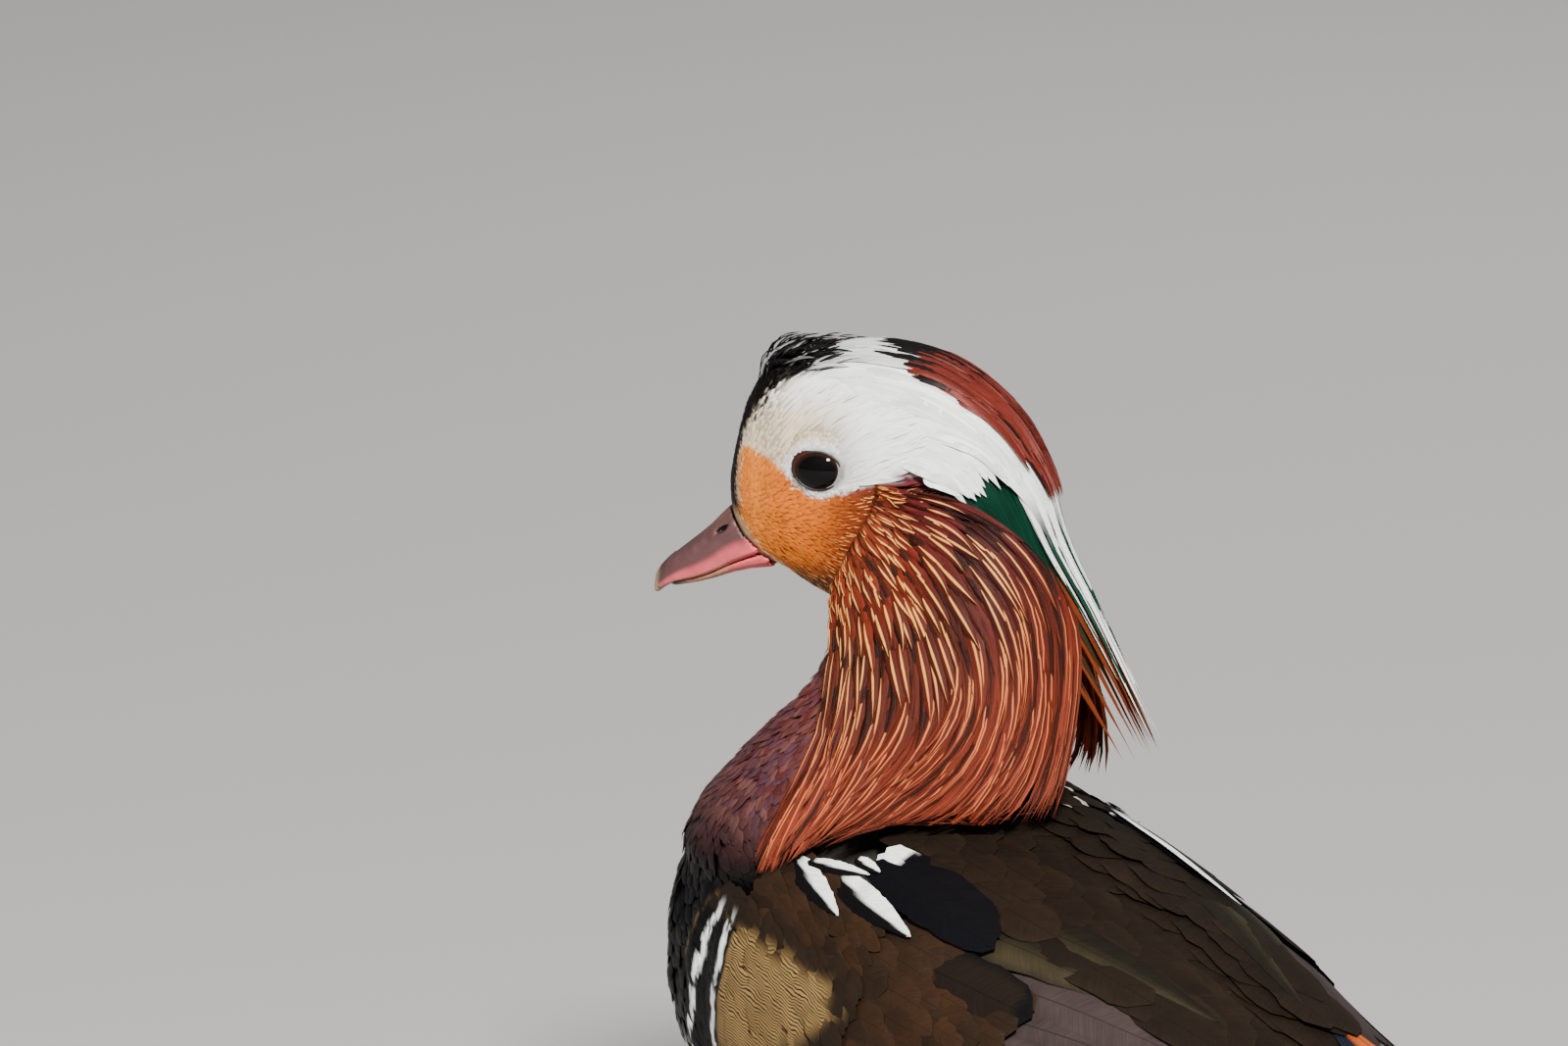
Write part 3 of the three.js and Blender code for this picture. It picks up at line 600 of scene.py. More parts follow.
def lay(
    plumes, spot, p, start, end, half, shape, base, colour, cells, rings=9, columns=5, over=0.0,
    camber=0.35, sweep=0.0, pull=0.0, clump=0.0, hold=0.45, mirrored=False, rise=0.0,
):
    """Lays feathers along a surface spot(p, s, out).

    half is the half width in p. base gives the height over the feather's length. over is how far
    each feather lies above the next one for a whole unit of p. sweep turns the tips over p,
    pull draws them to the middle, clump gathers them into so many locks, as far as hold says,
    and rise lifts the tip of each. colour(p, s, t, x) paints. cells is the first cell and the
    count of cells a side for the bake."""
    n = len(p)
    start, end, half = (np.broadcast_to(value, (n,)) for value in (start, end, half))
    t = np.linspace(0, 1, rings)
    x = columns_of(columns)
    middle = p[:, None] + sweep * np.asarray(clump_line(t)) + np.zeros((n, 1))
    middle = middle + (0.5 - p)[:, None] * pull * t
    if clump:
        goal = np.round(p * clump) / clump
        middle = middle + (goal - p)[:, None] * hold * t**2
    s = start[:, None] + (end - start)[:, None] * t
    width = half[:, None] * shape(t) * (1 + draws.normal(0, RAGGED, (n, rings)))
    place = middle[..., None] + width[..., None] * x
    slope = place - p[:, None, None]
    if mirrored:
        slope = np.abs(place - 0.5) - np.abs(p - 0.5)[:, None, None]
    out = np.asarray(base(t))[..., None] + over * slope + camber * (1 - x**2)
    out = out + np.broadcast_to(rise, (n,))[:, None, None] * (t**2)[:, None]
    along = np.broadcast_to(s[..., None], place.shape)
    points = spot(place, along, out + draws.normal(0, UNEVEN, (n, 1, 1)))
    centre = points[:, :, columns // 2]
    steps = np.linalg.norm(np.diff(centre, axis=1), axis=-1)
    length = np.concatenate([np.zeros((n, 1)), np.cumsum(steps, 1)], 1)
    tint, shaft = colour(place, along, np.broadcast_to(t[:, None], place.shape), x)
    plumes.add(points, x, length, tint, shaft, *bake_homes(cells, n))


def clump_line(t):
    """How much of a sweep a feather has along its length: none near the root."""
    return np.clip((t - 0.35) / 0.65, 0, 1) ** 2


def rising(low, high, share):
    """Heights that rise from the root's to the tip's over a share of a feather's length."""
    return lambda t: mix(low, high, step(0, share, t))


# The body's mean radius, which turns an angle round it into mm.
GIRTH = 52.0


def place(plumes, side, rows, colour, shape, cells, rings=11, columns=7, camber=0.5, tilt=-0.35):
    """Lays feathers one by one over the body.

    Each row holds where its feather starts and ends, both as a distance along the body and a
    turn down its side, then its half width, and its height at the root and at the tip."""
    y0, turn0, y1, turn1, half, low, high = np.array(rows, float).T[..., None]
    n, t, x = len(y0), np.linspace(0, 1, rings), columns_of(columns)
    along, down = y1 - y0, (turn1 - turn0) * GIRTH
    length = np.hypot(along, down)
    width = (half * shape(t) * (1 + draws.normal(0, RAGGED, (n, rings))))[..., None] * x
    y = (y0 + along * t)[..., None] - (down / length)[..., None] * width
    turn = (turn0 + (turn1 - turn0) * t)[..., None] + (along / length)[..., None] * width / GIRTH
    out = mix(low, high, step(0, 0.55, t))[..., None] + camber * (1 - x**2) + tilt * x
    points = on_body(y, side * turn, out + draws.normal(0, 0.1, (n, 1, 1)))
    tint, shaft, bars = colour(y, turn, np.broadcast_to(t[:, None], y.shape), x)
    plumes.add(points, x, length * t, tint, shaft, *bake_homes(cells, n), bars)


def cover(y, turn):
    """How high the top feathers of the wing lie over the body."""
    across = mix(0.55, 1, step(0.0, 0.3, turn)) * step(1.9, 1.5, turn)
    return 1.6 + 5.4 * across * step(-118, -96, y) * step(70, 20, y)


def steady(size):
    return lambda y: size


def growing(near, far, start=-80, end=10):
    """A size that grows from near to far down the back."""
    return lambda y: mix(near, far, step(start, end, y))


def shingle(stretch, turn_range, gap, length, half, low, high, lean=0.0):
    """Rows for place(), set like roof tiles.

    stretch is the first and last y, and the pitch. low and high are how far the roots and the
    tips lie over cover()."""
    rows = []
    count = max(1, int((turn_range[1] - turn_range[0]) * GIRTH / gap))
    for i, y in enumerate(np.arange(*stretch)):
        for j in range(count):
            turn = mix(*turn_range, (j + 0.25 + 0.5 * (i % 2)) / count)
            turn += draws.normal(0, 0.12) * gap / GIRTH
            at = y + draws.normal(0, 0.14) * stretch[2]
            reach = length(at) * draws.uniform(0.9, 1.12)
            level, stir = cover(at, turn), draws.uniform(-0.12, 0.12)
            foot, top = level + low + stir, level + high + stir
            rows.append((at, turn, at + reach, turn + lean * reach / GIRTH, half(at), foot, top))
    return rows


blunt = Profile((0, 0.5), (0.35, 0.95), (0.6, 1), (0.83, 0.86), (0.95, 0.5), (1, 0.2))
rounded = Profile((0, 0.45), (0.3, 0.9), (0.65, 1), (0.88, 0.75), (1, 0.2))
pointed = Profile((0, 0.5), (0.3, 1), (0.6, 0.86), (0.83, 0.5), (1, 0.1))
hackle = Profile((0, 0.4), (0.25, 0.9), (0.5, 1), (0.75, 0.75), (0.92, 0.36), (1, 0.06))

# ---- colours

WHITE, CREAM, GREY = srgb(240, 242, 240), srgb(234, 222, 196), srgb(150, 148, 146)
ORANGE, CHESTNUT = srgb(218, 112, 24), srgb(72, 24, 14)
MAROON, WINE = srgb(84, 24, 22), srgb(90, 30, 38)
BLACK, BLUE_BLACK, GREEN = srgb(5, 4, 6), srgb(3, 4, 8), srgb(5, 48, 34)
# BROWN, OLIVE, MAUVE and TAN, like the darker browns of the back and wings below, are the plumage's
# own dull olive-browns darkened further with painted shade, as if the back lay in shadow.
BROWN, OLIVE, MAUVE = srgb(32, 22, 14), srgb(24, 21, 13), srgb(52, 43, 42)
BUFF, TAN = srgb(140, 112, 68), srgb(66, 48, 32)
STREAK, STREAK_ORANGE = srgb(236, 166, 84), srgb(196, 106, 62)


def over(colour, patch, share):
    """Paints a patch over a colour, as far as share says."""
    share = np.asarray(share)[..., None]
    return colour * (1 - share) + patch * share


def with_alpha(colour, alpha):
    alpha = np.broadcast_to(alpha, colour.shape[:-1])[..., None]
    return np.concatenate([colour, alpha], -1)


def flat(colour, like):
    """One colour for each of the places in an array."""
    return np.broadcast_to(colour, (*like.shape, 3))


def some(feathers, share):
    """A random share of the feathers, as an array to paint them by."""
    return draws.random((len(feathers), 1, 1)) < share


under_eye = Profile(
    (-46, -1), (-16, -2), (-8, -4.5), (0, -7), (7, -3.6), (12, 0.4), (20, 3.4), (28, 4)
)
forehead_half = Profile((-12, 6), (4, 8), (15, 9.4), (24, 8.6), (30, 7))
bill_edge = Profile((-30, 9), (-27.4, 12), (-23.4, 17.3), (-18, 21), (-12.4, 24.6), (-6, 27))
bar_front = Profile((0.9, -100), (1.24, -108.5), (1.42, -112), (1.6, -116), (2.2, -122))
bar_rear = Profile((0.9, -94), (1.18, -98), (1.38, -100), (1.64, -102.5), (2.2, -106))


def from_eye(f, z):
    """How far a place on the side of the head is from the middle of the eye."""
    return np.hypot(f * 0.8, z * 1.06)


# The head's own shades.
FAWN, AMBER, RUSSET = srgb(206, 178, 134), srgb(224, 132, 44), srgb(128, 48, 18)
THROAT, CHIN, BILL_FRINGE = srgb(74, 36, 22), srgb(54, 30, 22), srgb(232, 200, 160)
EYE_RIM = srgb(70, 66, 64)


def head_coat(points):
    """Colour, gloss and shaft streaks of the head."""
    f, l, z = to_head(points)
    m = np.abs(l)
    eye = from_eye(f, z)
    below = step(1.0, -1.0, z - under_eye(f))
    colour = flat(WHITE, f)
    warm = step(-13, 3, f) * step(23, 9, z) * step(6.5, 8.5, eye)
    colour = over(colour, FAWN, warm * 0.75)
    cheek = over(ORANGE, AMBER, step(8, 20, f) * 0.7)
    cheek = over(cheek, RUSSET, step(5, -9, f + (z + 14) * 0.25) * 0.9)
    cheek = over(cheek, CHESTNUT, step(-5, -18, f + (z + 12) * 0.2) * 0.9)
    colour = over(colour, cheek, below)
    colour = over(colour, WINE, step(-10, -26, f) * step(-10, -3, z) * below)
    colour = over(colour, WINE, step(-19, -22, f) * step(3, 0, z))
    throat = step(-23, -31, z) * step(22, 14, f)
    colour = over(colour, THROAT, throat * 0.9)
    colour = over(colour, CHIN, step(7, 3, m) * step(-20, -29, z))
    border = step(-1.2, -0.5, f - bill_edge(z)) * step(-8, -11, z)
    colour = over(colour, BILL_FRINGE, border * 0.8)
    colour = over(colour, WHITE, step(7.4, 6.6, eye))
    colour = over(colour, EYE_RIM, step(5.9, 5.3, eye) * 0.6)
    forehead = step(0.8, -0.8, m - forehead_half(f)) * step(-16, -8, f) * step(-16, -12, z)
    edge = step(1.3, 0.7, m - forehead_half(f)) * step(6, 12, f) * step(-14, -10, z)
    colour = over(colour, CREAM, edge * 0.6)
    colour = over(colour, BLACK, forehead)
    colour = over(colour, MAROON, step(-8, -22, z) * step(-22, -31, f))
    dash = np.clip(below * step(0, -10, f + (z + 20) * 0.45) + throat, 0, 1)
    return colour, forehead * 0.35, dash


def side_bars(y, turn):
    """The black band of the breast's side and the two white stripes in it."""
    sides = step(1.1, 1.2, turn) * step(2.35, 2.15, turn)
    black = step(-7.5, -6.2, y - bar_front(turn)) * step(4.4, 3.6, y - bar_rear(turn)) * sides
    white = 0 * black
    for line, width, shift in ((bar_front, 1.5, 0), (bar_rear, 1.4, 2)):
        away = np.abs(y - line(turn) + 0.7 * np.sin(turn * 46 + shift) * np.sin(turn * 17))
        whole = step(-0.96, -0.8, np.sin(turn * 23 + shift + away))
        white = np.maximum(white, step(width + 0.3, width - 0.3, away) * sides * whole)
    return black, white


# The neck's and the body's own shades, and the lower breast's near black, which is painted shadow
# over its deep maroon.
RUMP, BELLY, VENT = srgb(26, 27, 26), srgb(226, 224, 218), srgb(190, 184, 172)
BREAST_IN_SHADOW, BREAST_PLUM, NECK_WINE = srgb(7, 5, 7), srgb(84, 50, 48), srgb(74, 30, 30)
NECK_RUSSET, NECK_BROWN = srgb(96, 36, 26), srgb(48, 34, 24)


def body_coat(points):
    """Colour, gloss and crossbars of the neck and body."""
    _, y, z = np.moveaxis(points, -1, 0)
    turn = body_turn(points)
    f, _, _ = to_head(points)
    colour = flat(BROWN, y)
    colour = over(colour, RUMP, step(30, 60, y) * step(1.3, 0.9, turn))
    flank = step(1.1, 1.2, turn) * step(1.98, 1.9, turn) * step(-92, -90, y) * step(44, 34, y)
    colour = over(colour, BUFF, flank)
    white = step(1.92, 2.02, turn + 0.0012 * (y + 30)) * step(-116, -104, y)
    colour = over(colour, BELLY, white)
    colour = over(colour, VENT, step(34, 44, y) * step(1.2, 1.4, turn))
    breast = step(-92, -100, y)
    # Plum high on the breast; lower down, painted shadow darkens its deep maroon to near black.
    high = step(140, 162, z)
    plum = over(BREAST_IN_SHADOW, BREAST_PLUM, high)
    colour = over(colour, plum, breast)
    colour = over(colour, BELLY, breast * step(100, 84, z) * step(1.8, 2.1, turn))
    black, stripes = side_bars(y, turn)
    colour = over(over(colour, BLACK, black), WHITE, stripes)
    neck = step(152, 166, z) * step(-80, -88, y)
    throat = over(NECK_WINE, NECK_RUSSET, step(165, 192, z))
    throat = over(throat, NECK_BROWN, step(-16, -32, f))
    colour = over(colour, throat, neck)
    return colour, breast * (1 - black) * mix(0.35, 0.6, high), flank * (1 - black)


MAP_EDGE, MAP_WIDE = 0.02, 0.94
# Where each stretch of the skin starts on its map, and how much of the map it takes.
HEAD_BAND, NECK_BAND, BODY_BAND = (0.72, 0.26), (0.5, 0.2), (0.02, 0.46)
NECK_FROM = 158


def around_map(angle):
    """The place across a map for a turn from -pi to pi."""
    return MAP_EDGE + MAP_WIDE * (angle / math.tau + 0.5)


def skin_uv(points):
    """An unwrap of the skin: a turn about the bird and a distance along it."""
    f, l, z = to_head(points)
    x, y, height = np.moveaxis(points, -1, 0)
    body = body_turn(points) * np.sign(x)
    neck = np.arctan2(x - neck_x(height), -(y - neck_y(height)))
    head = np.arctan2(l, -(z + 6))
    is_head, is_neck = z > -28, height > NECK_FROM
    angle = np.where(is_head, head, np.where(is_neck, neck, body))
    head_row = HEAD_BAND[0] + HEAD_BAND[1] * np.clip((f + 48) / 78, 0, 1)
    neck_row = NECK_BAND[0] + NECK_BAND[1] * (height - NECK_FROM) / 60
    body_row = BODY_BAND[0] + BODY_BAND[1] * (y + 168) / 260
    rows = np.where(is_head, head_row, np.where(is_neck, neck_row, body_row))
    return np.stack([around_map(angle), np.clip(rows, 0.01, 0.99)], -1)


# ---- the skin under the feathers


def islands_of(shape):
    """The separate bodies of a shape, each as its vertices, the largest last."""
    islands, seen = [], set()
    for vert in shape.verts:
        if vert in seen:
            continue
        island, todo = [], [vert]
        seen.add(vert)
        while todo:
            one = todo.pop()
            island.append(one)
            fresh = {edge.other_vert(one) for edge in one.link_edges} - seen
            seen |= fresh
            todo.extend(fresh)
        islands.append(island)
    return sorted(islands, key=len)


def fused(name, nodes, voxel, passes, joints=()):
    """Copies of CAD nodes, and balls that bridge their joints, as one closed and smooth skin."""
    shape = bmesh.new()
    for node in nodes:
        shape.from_mesh(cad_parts[node].data)
    bmesh.ops.remove_doubles(shape, verts=shape.verts, dist=1e-6)
    for *at, radius in joints:
        ball = Matrix.Translation(Vector(at) * MM)
        bmesh.ops.create_icosphere(shape, subdivisions=3, radius=radius * MM, matrix=ball)
    mesh = bpy.data.meshes.new(name)
    shape.to_mesh(mesh)
    shape.free()
    holder = linked(name, mesh)
    remesh = holder.modifiers.new("remesh", "REMESH")
    remesh.mode, remesh.voxel_size = "VOXEL", voxel * MM
    smooth = holder.modifiers.new("smooth", "SMOOTH")
    smooth.iterations = passes
    made = bpy.data.meshes.new_from_object(
        holder.evaluated_get(bpy.context.evaluated_depsgraph_get())
    )
    bpy.data.objects.remove(holder)
    shape = bmesh.new()
    shape.from_mesh(made)
    inner = [vert for island in islands_of(shape)[:-1] for vert in island]
    bmesh.ops.delete(shape, geom=inner, context="VERTS")
    bmesh.ops.triangulate(shape, faces=shape.faces)
    bmesh.ops.recalc_face_normals(shape, faces=shape.faces)
    shape.to_mesh(made)
    shape.free()
    return smoothed(made)


def vectors(mesh, what):
    """The places (co) or the facings (normal) of a mesh's vertices."""
    source = mesh.vertices if what == "co" else mesh.vertex_normals
    values = np.empty(len(mesh.vertices) * 3, np.float32)
    source.foreach_get("co" if what == "co" else "vector", values)
    return values.reshape(-1, 3).astype(float)


def move_to(mesh, points):
    mesh.vertices.foreach_set("co", (points * MM).astype(np.float32).ravel())
    mesh.update()


def paint_mesh(mesh, colour):
    layer = mesh.color_attributes.new("tint", "FLOAT_COLOR", "POINT")
    layer.data.foreach_set("color", with_alpha(colour, 0.0).ravel())


def unwrap(mesh, uv):
    """Writes a map whose seam at half a turn stays whole."""
    loops = np.empty(len(mesh.loops), np.int64)
    mesh.loops.foreach_get("vertex_index", loops)
    corners = uv[loops].reshape(-1, 3, 2)
    wide = corners[..., 0].max(1) - corners[..., 0].min(1) > 0.5
    corners[..., 0] += np.where(wide[:, None] & (corners[..., 0] < 0.5), MAP_WIDE, 0)
    mesh.uv_layers.new(name="OFBake").data.foreach_set("uv", corners.ravel())


def coat_depth(points):
    """How deep the skin lies under the solids: most on the body, least at the bill."""
    f, _, z = to_head(points)
    height = points[..., 2]
    depth = mix(2.0, 1.4, step(150, 175, height))
    depth = mix(depth, 0.7, step(-45, -32, z))
    return mix(depth, 0.35, step(16, 22, f) * step(-34, -28, z))


SKIN_VOXEL, BILL_VOXEL, LEG_VOXEL = 1.3, 0.4, 0.6
# The skin takes the coat's colour darkened: painted shade in the gaps between the feathers.
SKIN_PAINTED_SHADE = 0.55
skin_mesh = fused("skin", ("head", "neck", "torso", "eye_left", "eye_right"), SKIN_VOXEL, 5)
surface, facing = vectors(skin_mesh, "co") / MM, vectors(skin_mesh, "normal")
surface = surface - facing * coat_depth(surface)[:, None]
move_to(skin_mesh, surface)
facing = vectors(skin_mesh, "normal")
on_head = step(-46, -40, to_head(surface)[2])[:, None]
skin_colour = mix(body_coat(surface)[0], head_coat(surface)[0], on_head)
paint_mesh(skin_mesh, skin_colour * SKIN_PAINTED_SHADE)
unwrap(skin_mesh, skin_uv(surface))


def skin_finish():
    finish = Finish("feathered_skin")
    pores = finish.noise(finish.place(), 900.0, 3.0)
    colour = finish.scaled(finish.attribute("tint"), 0.75 + pores * 0.5)
    return finish.surface(Base_Color=colour, Roughness=0.85, Normal=finish.bump(pores, 0.2 * MM))


add_object("skin", skin_mesh, "body_feathers", skin_finish(), "head", "neck", "torso")

tree = kdtree.KDTree(len(surface))
for index, co in enumerate(surface):
    tree.insert(co, index)
tree.balance()


def settle(points):
    """The nearest places on the skin, and its facing there."""
    index = np.array([tree.find(point)[1] for point in points.reshape(-1, 3)])
    index = index.reshape(points.shape[:-1])
    normal, near = facing[index], surface[index]
    return points - normal * ((points - near) * normal).sum(-1, keepdims=True), normal


CROWDING, CLEARING = 3, 0.8


def scatter(spacing):
    """Random places on the skin, about spacing(points) mm apart, where that is finite.

    More places are drawn than fit, and each one that is kept clears away its neighbours."""
    corners = np.empty(len(skin_mesh.loops), np.int64)
    skin_mesh.loops.foreach_get("vertex_index", corners)
    a, b, c = (surface[corners.reshape(-1, 3)[:, k]] for k in range(3))
    area = np.linalg.norm(np.cross(b - a, c - a), axis=-1) / 2
    gap = spacing((a + b + c) / 3)
    weight = np.where(np.isfinite(gap), area / gap**2, 0)
    chosen = draws.choice(len(area), int(weight.sum() * CROWDING), p=weight / weight.sum())
    u, v = draws.random((2, len(chosen), 1))
    u, v = np.where(u + v > 1, 1 - u, u), np.where(u + v > 1, 1 - v, v)
    places = a[chosen] + (b - a)[chosen] * u + (c - a)[chosen] * v
    gaps = gap[chosen]
    near = kdtree.KDTree(len(places))
    for i, place in enumerate(places):
        near.insert(place, i)
    near.balance()
    free = np.ones(len(places), bool)
    for i, place in enumerate(places):
        if free[i]:
            for _, j, _ in near.find_range(place, gaps[i] * CLEARING):
                free[j] = j == i
    return places[free]


def flow(points):
    """The lie of the coat: away from the bill on the head, down the neck and back over the body."""
    f, l, z = to_head(points)
    x, y, height = np.moveaxis(points, -1, 0)
    off = np.stack([f - 27, l * 0.35, (z + 17) * mix(1.0, 0.6, step(0, 20, z))], -1)
    rise, ahead = np.hypot(f, z), np.where(f > -2, 1.0, 0.4)
    swerve = np.exp(-np.maximum(rise - 5.5, 0) / 2.2) * ahead * (np.abs(l) > 12)
    off = unit(off) + unit(np.stack([f * 0.4, 0 * f, z], -1)) * swerve[..., None] * 0.9
    head = off[..., :1] * FORWARD + off[..., 1:2] * LEFT + off[..., 2:] * UP
    out = unit(np.stack([x - neck_x(height), y - neck_y(height), 0 * z], -1))
    neck = np.array([0, 0, -1.0]) + out * 0.6 + step(-95, -70, y)[..., None] * np.array([0, 0.8, 0])
    body = np.stack([0 * x, 1 + 0 * x, -0.25 + 0 * x], -1)
    front = np.array([0, 0.45, -1.0])
    body = mix(front, body, step(-150, -105, y + (120 - height) * 0.25)[..., None])
    way = mix(body, neck, step(142, 166, height)[..., None])
    return unit(mix(way, head, step(-52, -30, z)[..., None]))


# The size of one small feather's patch on the bake map.
TUFT_PATCH = 0.003


def grow(
    plumes, roots, length, half, height, colour, rings=5, columns=3, shape=rounded, camber=0.25,
    turn=0.1,
):
    """Feathers that follow the skin from their roots."""
    n = len(roots)
    length, half, height = (
        np.broadcast_to(value, (n,)) * draws.uniform(0.85, 1.15, n)
        for value in (length, half, height)
    )
    t = np.linspace(0, 1, rings)
    point, normal = settle(roots)
    path, normals, ways = [], [], []
    lean = draws.normal(0, turn, (n, 1))
    way = None
    for _ in range(rings):
        course = flow(point)
        course = unit(course - normal * (course * normal).sum(-1, keepdims=True))
        course = unit(course + np.cross(normal, course) * lean)
        way = course if way is None else unit(way * 0.35 + course * 0.65)
        path.append(point)
        normals.append(normal)
        ways.append(way)
        point, normal = settle(point + way * (length / (rings - 1))[:, None])
    path, normals, ways = (np.stack(row, 1) for row in (path, normals, ways))
    across = unit(np.cross(ways, normals))
    x = columns_of(columns)
    width = half[:, None] * shape(t) * (1 + draws.normal(0, 0.05, (n, rings)))
    rise = height[:, None] * np.sin(np.clip(t * 1.15, 0, 1) * math.pi / 2) ** 1.2 - 0.25 * (1 - t)
    out = rise[..., None] + camber * (1 - x**2)
    points = (
        path[:, :, None]
        + across[:, :, None] * (width[..., None] * x)[..., None]
        + normals[:, :, None] * out[..., None]
    )
    tint, shaft, bars = colour(points + draws.normal(0, 0.35, (n, 1, 1, 3)), t[:, None], x)
    plumes.add(points, x, length[:, None] * t, tint, shaft, skin_uv(roots), TUFT_PATCH, bars)


def varied(colour, amount=0.12):
    """Each feather a little lighter or darker than the next."""
    shade = draws.normal(1, amount, (colour.shape[0], *(1,) * (colour.ndim - 1)))
    return colour * np.clip(shade, 0.6, 1.4)


# ---- head feathers

# All in mm: how far the feathers keep from the eye's middle, how far apart they are, their lengths.
EYE_CLEAR = 5.7
FACE_GAP, CROWN_GAP, FINE_GAP = 0.82, 0.95, 0.66
FACE_LENGTH, CROWN_LENGTH, FOREHEAD_LENGTH = 3.4, 8.0, 3.0
BILL_LENGTH, LID_LENGTH, THROAT_LENGTH, BROW_LENGTH = 2.2, 2.0, 4.2, 13.0


def head_gap(points):
    """How far apart the head's feathers are, with none on the eye, the bill and under the crest."""
    f, l, z = to_head(points)
    eye, m = from_eye(f, z), np.abs(l)
    gap = np.where(z - under_eye(f) < 0, FACE_GAP, CROWN_GAP)
    gap = np.where((eye < 8.5) | (f > 18), FINE_GAP, gap)
    hidden = (eye < EYE_CLEAR) & (m > 11)
    hidden |= (f > bill_edge(z) + 0.4) & (z < -7) & (m < 8.5)
    hidden |= (z < -48) | ((f < -26) & (z < -12))
    return np.where(hidden, np.inf, gap / math.sqrt(FINE))


def head_paint(points, t, x):
    colour, gloss, strength = head_coat(points)
    f, l, z = to_head(points)
    dark = some(points, 0.3)
    near_eye = step(8, 5.5, from_eye(f, z)) * (np.abs(l) > 10)
    colour = over(colour, GREY, dark * near_eye * 0.6)
    smudge = step(4, 0, np.abs(l) - forehead_half(f)) * step(6, 12, f) * step(4, 12, z)
    colour = over(colour, BLACK, some(points, 0.3) * smudge)
    # Painted shade: each feather darkens towards its root, under the feathers over it.
    colour = varied(colour * (0.8 + 0.2 * t[..., None] + 0 * points[..., :1]), 0.05)
    strength = strength * some(points, 0.45) * step(0.9, 0.7, t)
    streak = with_alpha(np.broadcast_to(STREAK, colour.shape), strength)
    return with_alpha(colour, gloss), streak, 0.0


roots = scatter(head_gap)
f, l, z = to_head(roots)
eye, below = from_eye(f, z), z < under_eye(f)
length = np.where(below, FACE_LENGTH, CROWN_LENGTH)
length = np.where(f > 12, FOREHEAD_LENGTH, length)
length = np.where(f > 20, BILL_LENGTH, length)
length = np.where((eye < 9) & (np.abs(l) > 10), LID_LENGTH, length)
length = np.where(z < -26, THROAT_LENGTH, length)
brow = (f < -4) & (z > -3) & (z < 24) & (np.abs(l) > 10)
length = np.where(brow, BROW_LENGTH, length)
half = np.where(below, 0.5, 0.44)
half = np.where(z < -26, 0.7, half)
lift = np.where(below, 0.32, 0.5) * np.where((f > 18) | (eye < 8), 0.6, 1)
lift = np.where(brow, mix(0.7, 2.4, step(0, -22, f)), lift)
for name, chosen in (("crown_coat", ~below), ("cheek_coat", below)):
    plumes = Plumes()
    grow(
        plumes, roots[chosen], length[chosen], half[chosen], lift[chosen], head_paint,
        rings=6 if name == "crown_coat" else 5, columns=3, camber=0.07,
    )
    finish = plumage(
        name + "_plumage", barb=0.25, slant=2.2, contrast=0.12, streak=0.5, relief=0.04
    )
    plumes.build(name, "head_feathers", finish)


TUFT_BLACK, TUFT_GREY = srgb(15, 13, 14), srgb(196, 196, 194)


def tuft_paint(points, t, x):
    _, l, _ = to_head(points)
    colour = flat(TUFT_BLACK, l)
    pale = some(points, 0.45) * step(3.5, 7, np.abs(l[:, :1, :1]))
    colour = varied(over(colour, TUFT_GREY, pale * step(0.1, 0.4, t)), 0.1)
    return with_alpha(colour, 0.2), with_alpha(colour, 0.0), 0.0


TUFT_GAP, TUFT_HALF = 1.5, 0.5


def tuft_gap(points):
    """How far apart the loose plumes on top of the forehead are."""
    f, l, z = to_head(points)
    reach = mix(7.5, 5.5, step(6, 16, f))
    return np.where((f > 1) & (f < 19) & (np.abs(l) < reach) & (z > 10), TUFT_GAP, np.inf)


roots = scatter(tuft_gap)
f, l, z = to_head(roots)
plumes = Plumes()
grow(
    plumes, roots, mix(13.0, 11.0, step(0, 18, f)), TUFT_HALF,
    mix(3.2, 5.0, draws.random(len(roots))), tuft_paint, rings=8, columns=3, turn=0.3, shape=hackle,
)
finish = plumage("tuft_plumage", barb=0.25, slant=3.0, contrast=0.2)
plumes.build("forehead_tuft", "head_feathers", finish)

# ---- neck and body feathers

# Where the coat parts into pieces, then its feathers' sizes and the pitch of the fine crossbars.
NECK_FOOT, BREAST_BACK = 150, -60
BODY_HALF, NECK_HALF = 2.1, 1.25
BODY_LENGTH, NECK_LENGTH = 10.0, 7.5
BODY_GAP, NECK_GAP = 2.2, 1.5
BODY_HEIGHT, CROSSBARS = 1.5, 1.15


def body_gap(points):
    """How far apart the body's feathers are, with none under the wings and in the head."""
    _, y, height = np.moveaxis(points, -1, 0)
    _, _, z = to_head(points)
    turn = body_turn(points)
    gap = mix(BODY_GAP, NECK_GAP, step(140, 165, height))
    hidden = (z > -44) | ((y > -92) & (y < 44) & (turn < 1.55))
    return np.where(hidden, np.inf, gap / math.sqrt(FINE))


# The breast's two painted glints.
GLINT_VIOLET, GLINT_ROSE = srgb(96, 88, 112), srgb(158, 118, 112)


def body_paint(points, t, x):
    colour, gloss, bars = body_coat(points)
    # Painted highlight: each feather's rim and tip is a lighter copy of its colour.
    edge = step(0.7, 1.0, np.maximum(np.abs(x), t**2)) + 0 * gloss
    # Painted glints: on the upper breast, random feathers take a violet or rose highlight.
    glint = draws.random((len(points), 1, 1, 1)) * (gloss * 1.6)[..., None]
    hue = np.where(some(points, 0.5)[..., None], GLINT_VIOLET, GLINT_ROSE)
    colour = varied(over(colour, colour * 1.5 + 0.003, edge * 0.2), 0.12)
    colour = mix(colour, hue, np.clip(glint * 0.3, 0, 1) * step(140, 168, points[..., 2:]))
    return with_alpha(colour, gloss), with_alpha(colour * 0.6, 0.35), bars


